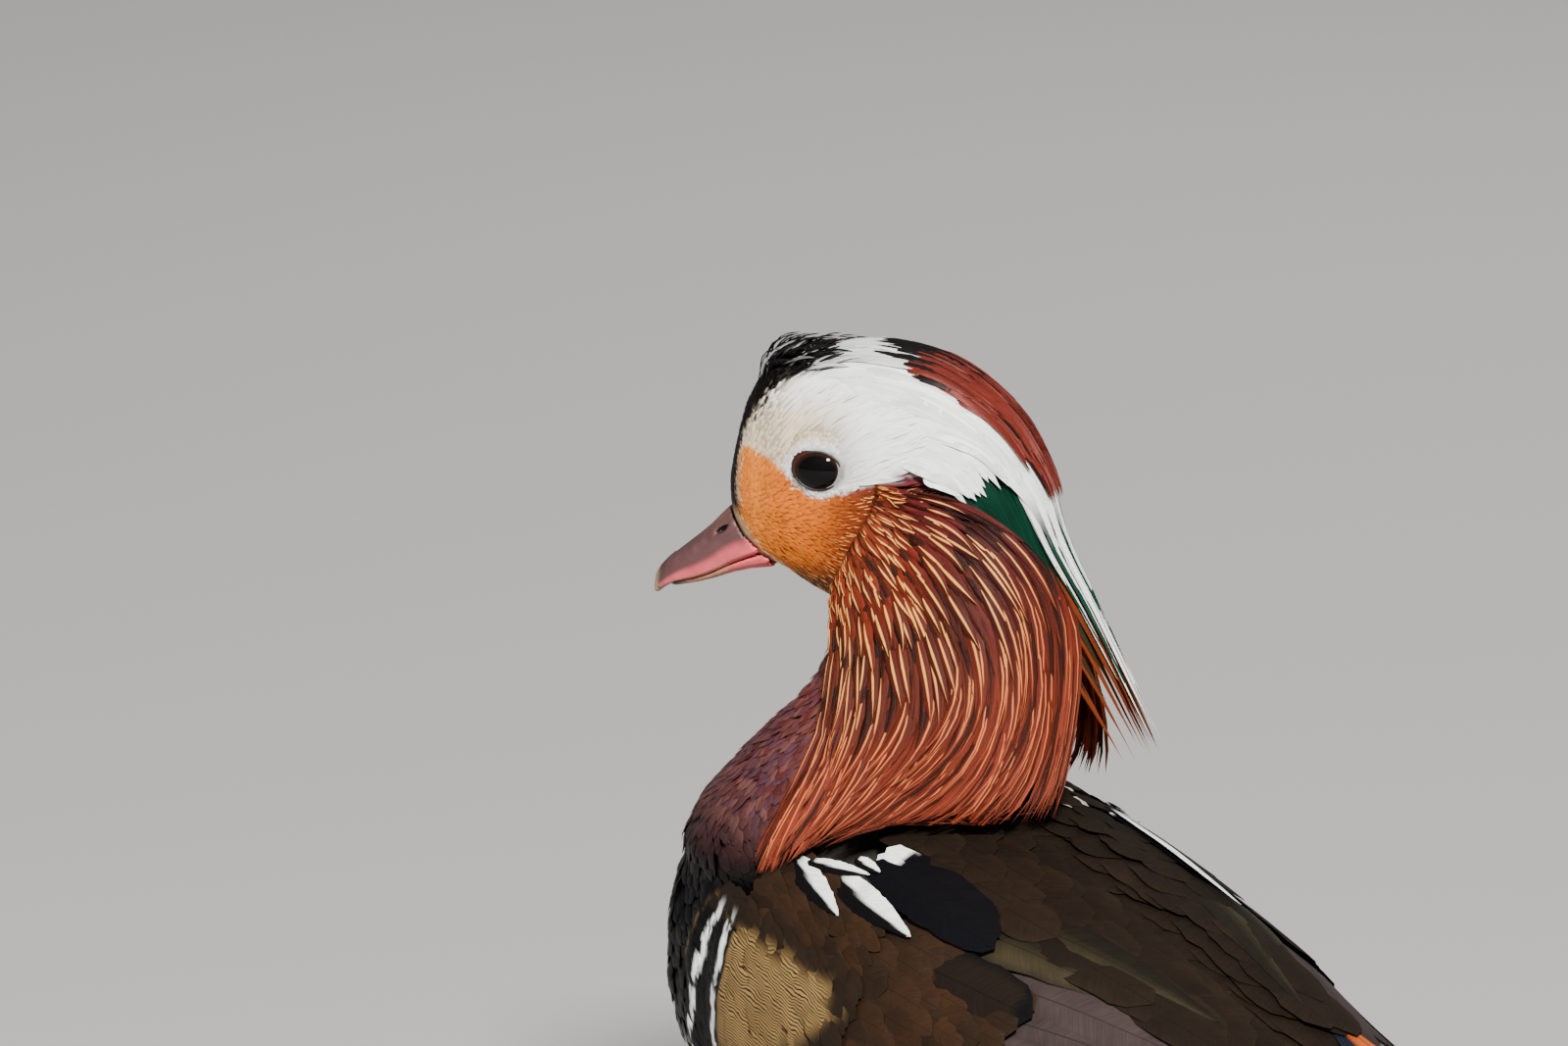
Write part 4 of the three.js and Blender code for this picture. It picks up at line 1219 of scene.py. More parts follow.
roots = scatter(body_gap)
length = mix(BODY_LENGTH, NECK_LENGTH, step(140, 180, roots[:, 2]))
half = mix(BODY_HALF, NECK_HALF, step(140, 165, roots[:, 2]))
breast_side = roots[:, 1] < BREAST_BACK
neck_side = breast_side & (roots[:, 2] > NECK_FOOT)
coat_parts = {
    "neck_coat": neck_side,
    "breast_coat": breast_side & ~neck_side,
    "belly_coat": ~breast_side,
}
for name, chosen in coat_parts.items():
    plumes = Plumes()
    grow(
        plumes, roots[chosen], length[chosen], half[chosen], BODY_HEIGHT, body_paint, rings=6,
        columns=5,
    )
    finish = plumage(
        name + "_plumage", barb=0.35, slant=1.6, contrast=0.25, streak=0.1, bars=CROSSBARS
    )
    plumes.build(name, "body_feathers", finish)

# ---- ruff

RUFF_RED, RUFF_WINE, RUFF_PAINTED_SHADOW = srgb(88, 25, 9), srgb(74, 19, 20), srgb(44, 16, 10)
RUFF_BRICK, RUFF_TIP, RUFF_ROOT = srgb(98, 33, 17), srgb(116, 50, 32), srgb(112, 42, 16)


def ruff_paint(streaked):
    """The hackles' paint; the streaked ones carry a pale spindle along the shaft."""

    def colour(p, s, t, x):
        high = step(0.5, 0.85, p) * step(0.85, 0.4, s)
        base = over(RUFF_RED, RUFF_WINE, high)
        # Painted shadow: a dark band over the middle of the ruff's height.
        base = over(base, RUFF_PAINTED_SHADOW, step(0.2, 0.4, s) * step(0.85, 0.6, s) * 0.55)
        base = over(base, RUFF_BRICK, step(0.5, 0.85, s) * step(0.3, 0.7, t))
        base = over(base, RUFF_TIP, step(0.6, 1.0, t) * step(0.45, 0.8, s) * 0.5)
        base = over(base, RUFF_ROOT, step(0.16, 0.0, s) * 0.8)
        # Painted shade: each hackle darkens towards its root, under the hackles over it.
        base = over(base, base * 0.3, (1 - step(0.0, 0.4, t)) * 0.85)
        # Painted highlight: the hackles' edges are a lighter copy of their colour.
        base = over(base, base * 1.5 + 0.003, step(0.7, 1, np.abs(x)) * 0.3 + 0 * t)
        dull = some(p, 0.45) * ~streaked[:, None, None]
        base = varied(over(base, base * 0.28, dull + 0 * t * x), 0.24)
        pale = over(STREAK, STREAK_ORANGE, step(0.35, 0.7, s))
        shown = step(0.3, 0.6, t) * step(1.0, 0.8, t) * (1 - 0.3 * step(0.6, 0.9, s))
        shaft = with_alpha(np.broadcast_to(pale, base.shape), shown * streaked[:, None, None])
        return with_alpha(base, 0.05 + high * 0.25), shaft

    return colour


RUFF_ROWS, RUFF_LOCKS, RUFF_CELLS = 27, 22, 46
# Over the share of the ruff's length: its width in mm, and its height over the neck.
ruff_span = Profile((0, 38), (0.3, 52), (0.6, 82), (1, 100))
ruff_height = Profile((0, 0.2), (0.12, 1.5), (0.4, 3.0), (0.8, 3.4), (1, 3.0))
# How long the hackles of each row are, as a share of the ruff.
ruff_reach = Profile((0, 0.07), (0.15, 0.12), (0.35, 0.26), (0.6, 0.44), (0.8, 0.5), (1, 0.44))
lock_reach = draws.uniform(0.76, 1.08, RUFF_LOCKS + 1)
lock_rise = draws.uniform(-1.0, 1.0, RUFF_LOCKS + 1)

for side, word in SIDES:
    plumes, spot, cell = Plumes(), ruff_spot(side), 0
    for row in range(RUFF_ROWS):
        share = row / (RUFF_ROWS - 1)
        start, reach = -0.03 + 0.6 * share**1.2, ruff_reach(share)
        count = int(mix(38, 62, share) * math.sqrt(FINE) + 1)
        streaked = draws.random(count) < (0.4 if share < 0.2 else 0.17)
        p = np.clip((np.arange(count) + 0.5 + draws.normal(0, 0.3, count)) / count, 0, 1)
        kept = (p < 0.86) | (share < 0.1) | (share > 0.72) | (draws.random(count) < 0.3)
        p, streaked, count = p[kept], streaked[kept], int(kept.sum())
        starts = np.clip(start + draws.normal(0, 0.015, count), 0, 1)
        lock, long = np.round(p * RUFF_LOCKS).astype(int), float(step(0.2, 0.3, reach))
        ends = start + reach * mix(draws.uniform(0.82, 1.1, count), lock_reach[lock], 0.75 * long)
        ends, rise = np.clip(ends, 0, 1), lock_rise[lock] * long
        level = float(ruff_height(start + reach))
        half = mix(0.6, 1.25, share**0.6) * np.where(streaked, 1.35, 1.0)
        low = float(step(0.6, 0.95, start + reach))
        for chosen, high in ((~streaked, level), (streaked, level + 0.45)):
            number = int(chosen.sum())
            if not number:
                continue
            stray = draws.normal(0, 0.012, (number, 1))
            sweep = stray - 0.2 * low * step(0.0, 0.5, p[chosen])[:, None]
            lay(
                plumes, spot, p[chosen], starts[chosen], ends[chosen],
                half[chosen] / ruff_span(start + reach * 0.6), hackle,
                rising(max(0.2, high - 2.6), high, 0.6), ruff_paint(streaked[chosen]),
                (cell, RUFF_CELLS), rings=6 if reach < 0.15 else 11, sweep=sweep,
                clump=RUFF_LOCKS if long else 0, hold=0.85, rise=rise[chosen],
            )
            cell += number
    finish = plumage(
        "ruff_plumage_" + word, barb=0.2, slant=7.0, contrast=0.6, streak=0.34, rough=0.55,
        relief=0.1,
    )
    plumes.build("ruff_" + word + "_hackles", "ruff_feathers", finish, "ruff_" + word)

# ---- crest

# Each kind of plume: its colour and its gloss.
CREST_KINDS = {
    "black": (srgb(18, 15, 16), 0.25),
    "grey": (srgb(196, 198, 198), 0.02),
    "copper": (srgb(100, 36, 28), 0.3),
    "white": (WHITE, 0.02),
    "green": (GREEN, 0.55),
    "rust": (srgb(104, 44, 16), 0.02),
}
PALE_COPPER, DARK_COPPER, COOL_WHITE = srgb(150, 92, 88), srgb(26, 14, 14), srgb(206, 212, 214)
STRAND_GREEN, CREST_TIP = srgb(14, 52, 40), srgb(54, 40, 22)


def crest_paint(kind):
    """The paint of one kind of plume; some white ones run out into green strands."""

    def colour(p, s, t, x):
        tone, gloss = CREST_KINDS[kind]
        base = flat(tone, p)
        if kind == "copper":
            base = over(base, PALE_COPPER, some(p, 0.2) * step(0.4, 1, t) * 0.5)
            base = over(base, DARK_COPPER, some(p, 0.15) + 0 * t)
        if kind == "white":
            base = over(base, COOL_WHITE, draws.random((len(p), 1, 1)) * 0.4 + 0 * t)
            base = over(base, STRAND_GREEN, some(p, 0.3) * step(0.58, 0.7, s))
        if kind == "green":
            base = over(base, CREST_TIP, step(0.7, 0.95, s))
        # Painted shade: all but the white plumes darken towards their roots, under the plumes over
        # them.
        base = varied(over(base, base * 0.6, step(0.4, 0.0, t) * 0.6 * (kind != "white")), 0.1)
        return with_alpha(base, gloss), with_alpha(base * 0.8, 0.3)

    return colour


CREST_WIDE, CREST_LOCKS, CREST_CELLS = 30.0, 8, 40
CREST_ROWS = (
    # kind, count, half distance from the middle, starts, ends, half in mm, heights, pull
    ("green", 70, (0.9, 1.45), (0.46, 0.58), (0.66, 0.86), 0.6, (-1.6, -0.6), 0.1),
    ("green", 70, (0.6, 1.3), (0.5, 0.64), (0.78, 0.94), 0.6, (-1.4, -0.3), 0.12),
    ("rust", 60, (0.3, 1.3), (0.6, 0.74), (0.9, 1.0), 0.45, (-1.8, -0.9), 0.1),
    ("rust", 30, (0.0, 0.6), (0.56, 0.7), (0.86, 0.98), 0.7, (-1.2, -0.6), 0.1),
    ("white", 30, (0.0, 0.7), (0.44, 0.56), (0.8, 1.0), 0.62, (-0.2, 0.8), 0.4),
    ("white", 70, (0.9, 1.36), (0.28, 0.4), (0.46, 0.56), 0.8, (-0.8, 0.2), 0.1),
    ("white", 50, (0.4, 1.0), (0.32, 0.44), (0.6, 0.74), 0.85, (-0.2, 0.7), 0.5),
    ("copper", 60, (0.0, 0.5), (0.28, 0.42), (0.52, 0.64), 0.7, (0.4, 1.9), 0.45),
    ("white", 80, (0.55, 1.05), (0.16, 0.32), (0.42, 0.58), 0.85, (-0.2, 1.1), 0.25),
    ("copper", 100, (0.0, 0.6), (0.14, 0.3), (0.4, 0.56), 0.7, (0.4, 2.2), 0.2),
    ("white", 80, (0.5, 0.9), (0.04, 0.18), (0.26, 0.44), 0.85, (-0.4, 1.2), 0.05),
    ("copper", 50, (0.0, 0.5), (0.12, 0.22), (0.3, 0.42), 0.7, (0.4, 2.4), 0.0),
    ("white", 80, (0.42, 0.86), (0.0, 0.1), (0.14, 0.32), 0.85, (-0.4, 1.2), 0.0),
    ("grey", 60, (0.0, 0.5), (0.0, 0.14), (0.14, 0.28), 0.6, (0.5, 2.0), 0.0),
    ("black", 30, (0.0, 0.35), (0.06, 0.2), (0.2, 0.36), 0.5, (0.6, 2.4), 0.0),
)
plumes, cell = Plumes(), 0
for kind, count, away, starts, ends, half, heights, pull in CREST_ROWS:
    count = int(count * FINE) + 2
    for side, _ in SIDES:
        p = 0.5 + side * draws.uniform(*away, count) / 2
        lay(
            plumes, crest_spot, p, draws.uniform(*starts, count), draws.uniform(*ends, count),
            half / CREST_WIDE, hackle, rising(*heights, 0.5), crest_paint(kind),
            (cell, CREST_CELLS), rings=11, columns=3, camber=0.3, pull=pull,
            clump=CREST_LOCKS if ends[1] > 0.85 else 0, hold=0.9,
        )
        cell += count
finish = plumage("crest_plumage", barb=0.2, slant=7.0, contrast=0.22, streak=0.12, rough=0.5)
plumes.build("crest_plumes", "crest_feathers", finish, "crest")

# ---- wings

# Each tract's near and far corners at the roots, then at the tips: a distance along, a turn down.
WING_TRACTS = {
    "primaries": (((2, 1.28), (6, 1)), ((WING_TIP_Y, 0.68), (94, 0.42))),
    "secondaries": (((-48, 1.74), (-12, 1.2)), ((44, 1.56), (78, 0.98))),
    "tertials": (((-30, 1.15), (-22, 0.5)), ((78, 0.9), (92, 0.42))),
    "greater": (((-88, 1.74), (-60, 1)), ((2, 1.72), (14, 0.98))),
    "median": (((-104, 1.45), (-94, 0.8)), ((-46, 1.66), (-34, 0.84))),
}


def vane(base, rim, rim_share=0.5, tip=None, gloss=0.1, outer=None, amount=0.12):
    """A flight feather or covert: its colour, a lighter rim, a tip and its outer web."""

    def colour(p, s, t, x):
        made = flat(base, p)
        if outer is not None:
            made = over(made, outer, step(-0.1, 0.1, x) + 0 * t)
        edge = np.maximum(step(0.72, 0.98, np.abs(x)) + 0 * t, step(0.88, 1.0, t) + 0 * x)
        made = over(made, rim, edge * rim_share)
        if tip is not None:
            made = over(made, tip, step(0.86, 0.9, t) + 0 * x)
        # Painted shade: each feather darkens towards its root, under the feathers over it.
        made = varied(over(made, made * 0.5, step(0.6, 0.0, t) * 0.3 + 0 * x), amount)
        return with_alpha(made, gloss), with_alpha(made * 0.6, 0.6)

    return colour


# The back's own brown, darkened further with painted shade.
BACK_VANE = vane(srgb(24, 16, 9), TAN, 0.06, gloss=0.0)


def placed(colour):
    """The same paint for feathers that are placed one by one."""

    def painted(y, turn, t, x):
        return (*colour(y, turn, t, x), 0.0)

    return painted


def bar_paint(y, turn, t, x):
    """Black with a white upper web that widens to the tip, for the bars of the shoulder."""
    colour = flat(BLACK, y)
    white = step(0.1, -0.02, x - 0.5 * (t - 0.45)) * step(0.08, 0.16, t) + 0 * y
    colour = over(colour, WHITE, white)
    return with_alpha(colour, 0.1), with_alpha(colour, 0.0), 0.0


def ink_paint(y, turn, t, x):
    """Blue-black; all but the second feather have a white root."""
    colour = flat(BLUE_BLACK, y)
    upper = (np.arange(len(y)) != 1)[:, None, None]
    colour = over(colour, WHITE, upper * step(0.16, 0.14, t + 0.02 * x))
    return with_alpha(colour, 0.1 + 0 * y), with_alpha(colour * 0.7, 0.3), 0.0


# The lower breast's near black: painted shadow over its deep maroon.
FLANK_FRONT_IN_SHADOW = srgb(9, 6, 9)


def flank_paint(y, turn, t, x):
    """Barred buff, browner to the front and top, with the black and white bars of the breast."""
    colour = flat(BUFF, y)
    brown = step(-66, -56, y + 8 * np.sin(turn * 9) + draws.normal(0, 3, (len(y), 1, 1))) + 0 * x
    top = step(1.21, 1.13, turn + draws.normal(0, 0.02, (len(y), 1, 1)))
    colour = over(colour, BROWN, np.maximum(brown, top))
    black, stripes = side_bars(y, turn)
    colour = over(over(colour, BLACK, black), WHITE, stripes)
    # Ahead of the front bar the flank feathers take the lower breast's near black, which is painted
    # shadow.
    front = step(-6.5, -7.5, y - bar_front(turn))
    colour = varied(over(colour, FLANK_FRONT_IN_SHADOW, front), 0.08)
    bars = (1 - brown) * (1 - black) * (1 - front) * (1 - top)
    return with_alpha(colour, front * 0.3), with_alpha(colour, 0.0), bars


SHOULDER_BROWN, SHOULDER_RED = srgb(33, 22, 13), srgb(54, 32, 16)


def shoulder_paint(y, turn, t, x):
    colour = flat(SHOULDER_BROWN, y)
    colour = over(colour, SHOULDER_RED, draws.random((len(y), 1, 1)) * 0.5 + 0 * x)
    edge = np.maximum(step(0.6, 1, np.abs(x)) + 0 * t, step(0.75, 1, t) + 0 * x)
    colour = varied(over(colour, TAN, edge * 0.06), 0.14)
    return with_alpha(colour, 0.0), with_alpha(colour * 0.6, 0.5), 0.0


PRIMARY_VANE = vane(srgb(26, 22, 20), srgb(96, 94, 92), 0.7, gloss=0.15)
MIRROR_VANE = vane(srgb(34, 26, 20), BROWN, 0.15, WHITE, 0.4, srgb(8, 48, 50))
TERTIAL_VANE = vane(MAUVE, srgb(30, 26, 25), 0.5, gloss=0.12)
COVERT_VANE = vane(BROWN, TAN, 0.1)
DARK_EDGED_VANE = vane(srgb(30, 21, 14), srgb(10, 9, 9), 0.5)
TAN_EDGED_VANE = vane(srgb(32, 22, 14), TAN, 0.12)
WING_ROWS = (
    # tract, count, start, end, half width in feathers, heights, paint, shape
    ("primaries", 8, 0.0, 1.0, 0.9, (0.6, 1.2), PRIMARY_VANE, pointed),
    ("secondaries", 9, 0.0, 1.0, 0.85, (1.0, 3.0), MIRROR_VANE, blunt),
    ("tertials", 5, 0.0, 1.0, 0.85, (2.0, 5.0), TERTIAL_VANE, blunt),
    ("greater", 11, 0.05, 1.0, 0.85, (1.5, 4.6), DARK_EDGED_VANE, blunt),
    ("greater", 12, 0.0, 0.72, 0.9, (2.0, 5.2), TAN_EDGED_VANE, rounded),
    ("median", 10, 0.25, 1.0, 0.9, (2.0, 5.6), COVERT_VANE, rounded),
    ("median", 10, 0.1, 0.72, 0.9, (2.0, 6.0), COVERT_VANE, rounded),
)
WING_CELLS, FLANK_CELLS, BACK_CELLS = 28, 34, 16
WING_VANES = {"barb": 0.45, "contrast": 0.42, "streak": 0.06, "rough": 0.6, "mottle": 0.6}

# Single feathers, as place() takes them, from the lowest to the topmost.
MAUVE_FEATHERS = [
    (-30, 0.98, 58, 0.66, 8.5, 3.4, 5.4), (-26, 0.78, 62, 0.5, 8.5, 4.0, 6.0),
    (-22, 0.62, 58, 0.38, 8, 4.6, 6.4),
]
OLIVE_FEATHERS = [
    (-44, 0.64, 30, 0.42, 6.5, 4.8, 7.0), (-44, 0.5, 45, 0.22, 6.4, 5.4, 7.6),
]
DARK_FEATHERS = [
    (-52, 1.12, 2, 1.0, 8, 5.0, 6.2), (-42, 0.88, 9, 0.8, 8.5, 5.4, 6.8),
    (-58, 1.28, -8, 1.2, 8, 4.8, 5.8),
]
INK_FEATHERS = [
    (-66, 0.51, -20, 0.51, 4.6, 7.4, 7.9), (-66, 0.62, -14, 0.62, 5.2, 7.5, 8.0),
    (-66, 0.56, -16, 0.56, 5, 7.6, 8.1),
]
BAR_FEATHERS = [
    (-88, 0.79, -62, 0.885, 3.2, 7.4, 7.9), (-73, 0.75, -37, 0.785, 3.6, 7.6, 8.2),
    (-82, 0.77, -62, 0.66, 1.7, 8.0, 8.3), (-70, 0.64, -60, 0.625, 1.6, 8.0, 8.3),
]
# The right wing's white edge, which shows over the back.
EDGE_FEATHER = (-66, 0.5, -4, 0.46, 2.6, 8.4, 9.0)

MAUVE_VANE = vane(MAUVE, srgb(26, 22, 22), 0.5, gloss=0.12, amount=0.06)
DARK_VANE = vane(srgb(28, 20, 14), srgb(5, 5, 7), 0.9, srgb(5, 5, 8))
OLIVE_VANE = vane(OLIVE, srgb(18, 16, 13), 0.5, gloss=0.15, outer=srgb(46, 40, 27))
SINGLE_TRACTS = (
    (MAUVE_FEATHERS, MAUVE_VANE, blunt),
    (DARK_FEATHERS, DARK_VANE, blunt),
    (OLIVE_FEATHERS, OLIVE_VANE, pointed),
)
for side, word in SIDES:
    plumes, cell = Plumes(), 0
    for tract, count, start, end, half, heights, colour, shape in WING_ROWS:
        root, tip = WING_TRACTS[tract]
        p = (np.arange(count) + 0.5 + draws.normal(0, 0.08, count)) / count
        lay(
            plumes, wing_spot(side, root, tip), p, start + draws.normal(0, 0.01, count),
            end + draws.normal(0, 0.012, count), half / count, shape, rising(*heights, 0.4),
            colour, (cell, WING_CELLS), rings=12, columns=7, over=0.8 * count, camber=0.5,
        )
        cell += count
    for rows, colour, shape in SINGLE_TRACTS:
        place(plumes, side, rows, placed(colour), shape, (cell, WING_CELLS), rings=15)
        cell += len(rows)
    mantle = shingle(
        (30, -92, -7), (0.16, 0.46), 6, growing(16, 34), growing(4.6, 7), -0.6, 0.6, lean=-0.08
    )
    shoulder = shingle(
        (-56, -100, -4), (0.74, 1.14), 3.4, steady(12), steady(2.6), -0.5, 0.3, lean=0.1
    )
    lesser = shingle((-10, -58, -6), (0.74, 1.5), 5, steady(17), steady(4.4), -0.8, -0.1)
    tracts = (
        (mantle, placed(BACK_VANE), rounded),
        (shoulder, shoulder_paint, pointed),
        (lesser, shoulder_paint, rounded),
    )
    for rows, colour, shape in tracts:
        place(
            plumes, side, rows, colour, shape, (cell, WING_CELLS), rings=9, columns=5, camber=0.22,
            tilt=-0.12,
        )
        cell += len(rows)
    bars = BAR_FEATHERS + ([EDGE_FEATHER] if side < 0 else [])
    for rows, colour, shape in ((INK_FEATHERS, ink_paint, blunt), (bars, bar_paint, pointed)):
        place(
            plumes, side, rows, colour, shape, (cell, WING_CELLS), rings=24, columns=9, camber=0.15,
            tilt=-0.1,
        )
        cell += len(rows)
    finish = plumage("wing_plumage_" + word, slant=5.0, **WING_VANES)
    plumes.build("wing_" + word + "_feathers", "wing_feathers", finish, "wing_" + word)

    plumes = Plumes()
    rows = shingle(
        (-56, -122, -3.4), (1.04, 2.0), 2.4, growing(9, 13, -100, -70),
        growing(2.0, 2.8, -100, -70), -0.9, 0.5, lean=0.25,
    )
    place(
        plumes, side, rows, flank_paint, rounded, (0, FLANK_CELLS), rings=10, columns=5, camber=0.2,
        tilt=-0.1,
    )
    finish = plumage(
        "flank_plumage_" + word, barb=0.4, slant=1.0, contrast=0.1, streak=0.05, bars=CROSSBARS
    )
    plumes.build("flank_" + word + "_feathers", "body_feathers", finish)

# ---- middle of the back

plumes = Plumes()
for side, _ in SIDES:
    rows = shingle(
        (40, -96, -7), (0.0, 0.2), 5, growing(15, 30), growing(4.6, 6.6), -0.4, 0.8, lean=0.02
    )
    first = 0 if side > 0 else BACK_CELLS**2 // 2
    place(
        plumes, side, rows, placed(BACK_VANE), rounded, (first, BACK_CELLS), rings=9, camber=0.22,
        tilt=-0.12,
    )
finish = plumage("back_plumage", slant=4.0, **WING_VANES)
plumes.build("back_feathers", "body_feathers", finish)

# ---- sails of the inmost wing feathers

SAIL_LEAN, SAIL_SAG, SAIL_LENGTH = -0.3, 0.012, 140
SAIL_RINGS, SAIL_COLUMNS = 26, 11
# The middle line: first over the body (a distance along, a turn down, a height), then free.
SAIL_ROOT = ((-4.0, 0.34, 2.6), (34.0, 0.4, 5.6))
SAIL_LINE = ((18.0, 70, 126.5), (20.0, 102, 125.5), (18.0, 133, 131.5))
# Each of the two feathers: how far out it lies, its half width and how far up.
SAIL_FEATHERS = ((3, 9, -3), (0, 15, 0))
sail_width = Profile((0, 0.15), (0.35, 0.3), (0.62, 0.9), (0.85, 1), (1, 0.4))
SAIL_ORANGE, SAIL_ROOT_RED, SAIL_BLUE = srgb(196, 92, 26), srgb(120, 48, 16), srgb(16, 22, 34)
SAIL_CREAM, SAIL_TIP, SAIL_SHAFT = srgb(236, 226, 206), srgb(20, 20, 26), srgb(60, 24, 10)


def sail_paint(t, x):
    """Orange, with a dark blue inner edge, a pale outer edge and a dark tip."""
    colour = np.broadcast_to(SAIL_ORANGE, (*np.broadcast_shapes(t.shape, x.shape), 3))
    colour = over(colour, SAIL_ROOT_RED, step(0.55, 0.2, t) + 0 * x)
    colour = over(colour, SAIL_BLUE, step(-0.35, -0.5, x) * step(0.95, 0.85, t))
    colour = over(colour, SAIL_CREAM, step(0.86, 0.94, x) * step(0.45, 0.6, t))
    colour = over(colour, SAIL_TIP, step(0.94, 0.98, t) + 0 * x)
    return with_alpha(colour, 0.1), with_alpha(SAIL_SHAFT + 0 * colour, 0.8)


for side, word in SIDES:
    t, x = np.linspace(0, 1, SAIL_RINGS)[:, None], columns_of(SAIL_COLUMNS)
    plumes = Plumes()
    for order, (shift, breadth, rise) in enumerate(SAIL_FEATHERS):
        line = [on_body(y, turn, out) for y, turn, out in SAIL_ROOT]
        line += [np.array(at) + (shift, 0, rise) for at in SAIL_LINE]
        middle = curve(line, t)
        ragged = 1 + draws.normal(0, 0.008, t.shape)
        wide = breadth * sail_width(t) * (x + 0.12 * (1 - x**2)) * ragged
        fall = wide * math.sin(SAIL_LEAN) - SAIL_SAG * wide**2
        points = middle + spots(wide * math.cos(SAIL_LEAN), 0 * wide, fall)
        points[..., 2] += 0.5 * (1 - x**2)
        points[..., 0] *= side
        tint, shaft = sail_paint(t, x)
        reach = np.linspace(0, SAIL_LENGTH, SAIL_RINGS)[None]
        home = np.array([[0.25 + 0.5 * order, 0.05]])
        plumes.add(points[None], x, reach, tint[None], shaft[None], home, 0.45)
    finish = plumage(
        "sail_plumage_" + word, barb=0.45, slant=9.0, contrast=0.3, streak=0.05, rough=0.45
    )
    plumes.build("sail_" + word, "wing_feathers", finish)

# ---- tail

plumes = Plumes()
quill = vane(srgb(34, 28, 24), srgb(60, 52, 42), 0.5, gloss=0.2)
under = vane(srgb(206, 200, 188), WHITE, 0.3)
TAIL_QUILLS, TAIL_COVERTS, TAIL_CELLS, TAIL_STACK = 12, 7, 6, -10
TAIL_TRACTS = (
    # from, to and tip as shares of the fan, heights, paint
    (0.16, 0.84, 0.66, (1.5, 3.4), quill),
    (0.12, 0.88, 0.64, (-2, -6), under),
)
lay(
    plumes, tail_spot, (np.arange(TAIL_QUILLS) + 0.5) / TAIL_QUILLS, 0.25, 1.0, 0.066, blunt,
    rising(0, 0, 1), quill, (0, TAIL_CELLS), rings=12, columns=7, over=TAIL_STACK, mirrored=True,
)
for low, high, end, heights, colour in TAIL_TRACTS:
    p = mix(low, high, (np.arange(TAIL_COVERTS) + 0.5) / TAIL_COVERTS)
    lay(
        plumes, tail_spot, p, 0.1, end, 0.09, rounded, rising(*heights, 0.5), colour,
        (TAIL_QUILLS, TAIL_CELLS), columns=7, over=TAIL_STACK, mirrored=True,
    )
finish = plumage("tail_plumage", barb=0.5, slant=5.0, contrast=0.25, streak=0.06)
plumes.build("tail_feathers", "wing_feathers", finish, "tail")

# ---- bill

# Forward and up in the head frame: the nostril, the bill's ridge and the line of the mouth.
NOSTRIL = (27.6, -19.9)
culmen_z = Profile(
    (12, -8), (25, -13), (31, -19.3), (36, -23.8), (41, -28), (44, -31), (46.3, -34.5)
)
gape_z = Profile(
    (12, -23.4), (21, -26.6), (26, -28.8), (30, -31), (35, -32.9), (40, -34.2), (43.5, -35.9),
    (46.3, -38.6),
)
# The bill, from its ridge down to its lower half.
HORN, RIDGE, BRIDGE = srgb(80, 52, 52), srgb(66, 50, 50), srgb(112, 82, 64)
PINK, LIP, BILL_ROOT = srgb(182, 74, 82), srgb(214, 128, 122), srgb(218, 74, 90)
NOSTRIL_PAINTED_SHADE, NAIL, NAIL_TIP = srgb(34, 20, 22), srgb(58, 44, 42), srgb(196, 172, 140)
LOWER_PINK, LOWER_HORN, LOWER_TIP = srgb(206, 84, 90), srgb(150, 110, 84), srgb(60, 46, 40)


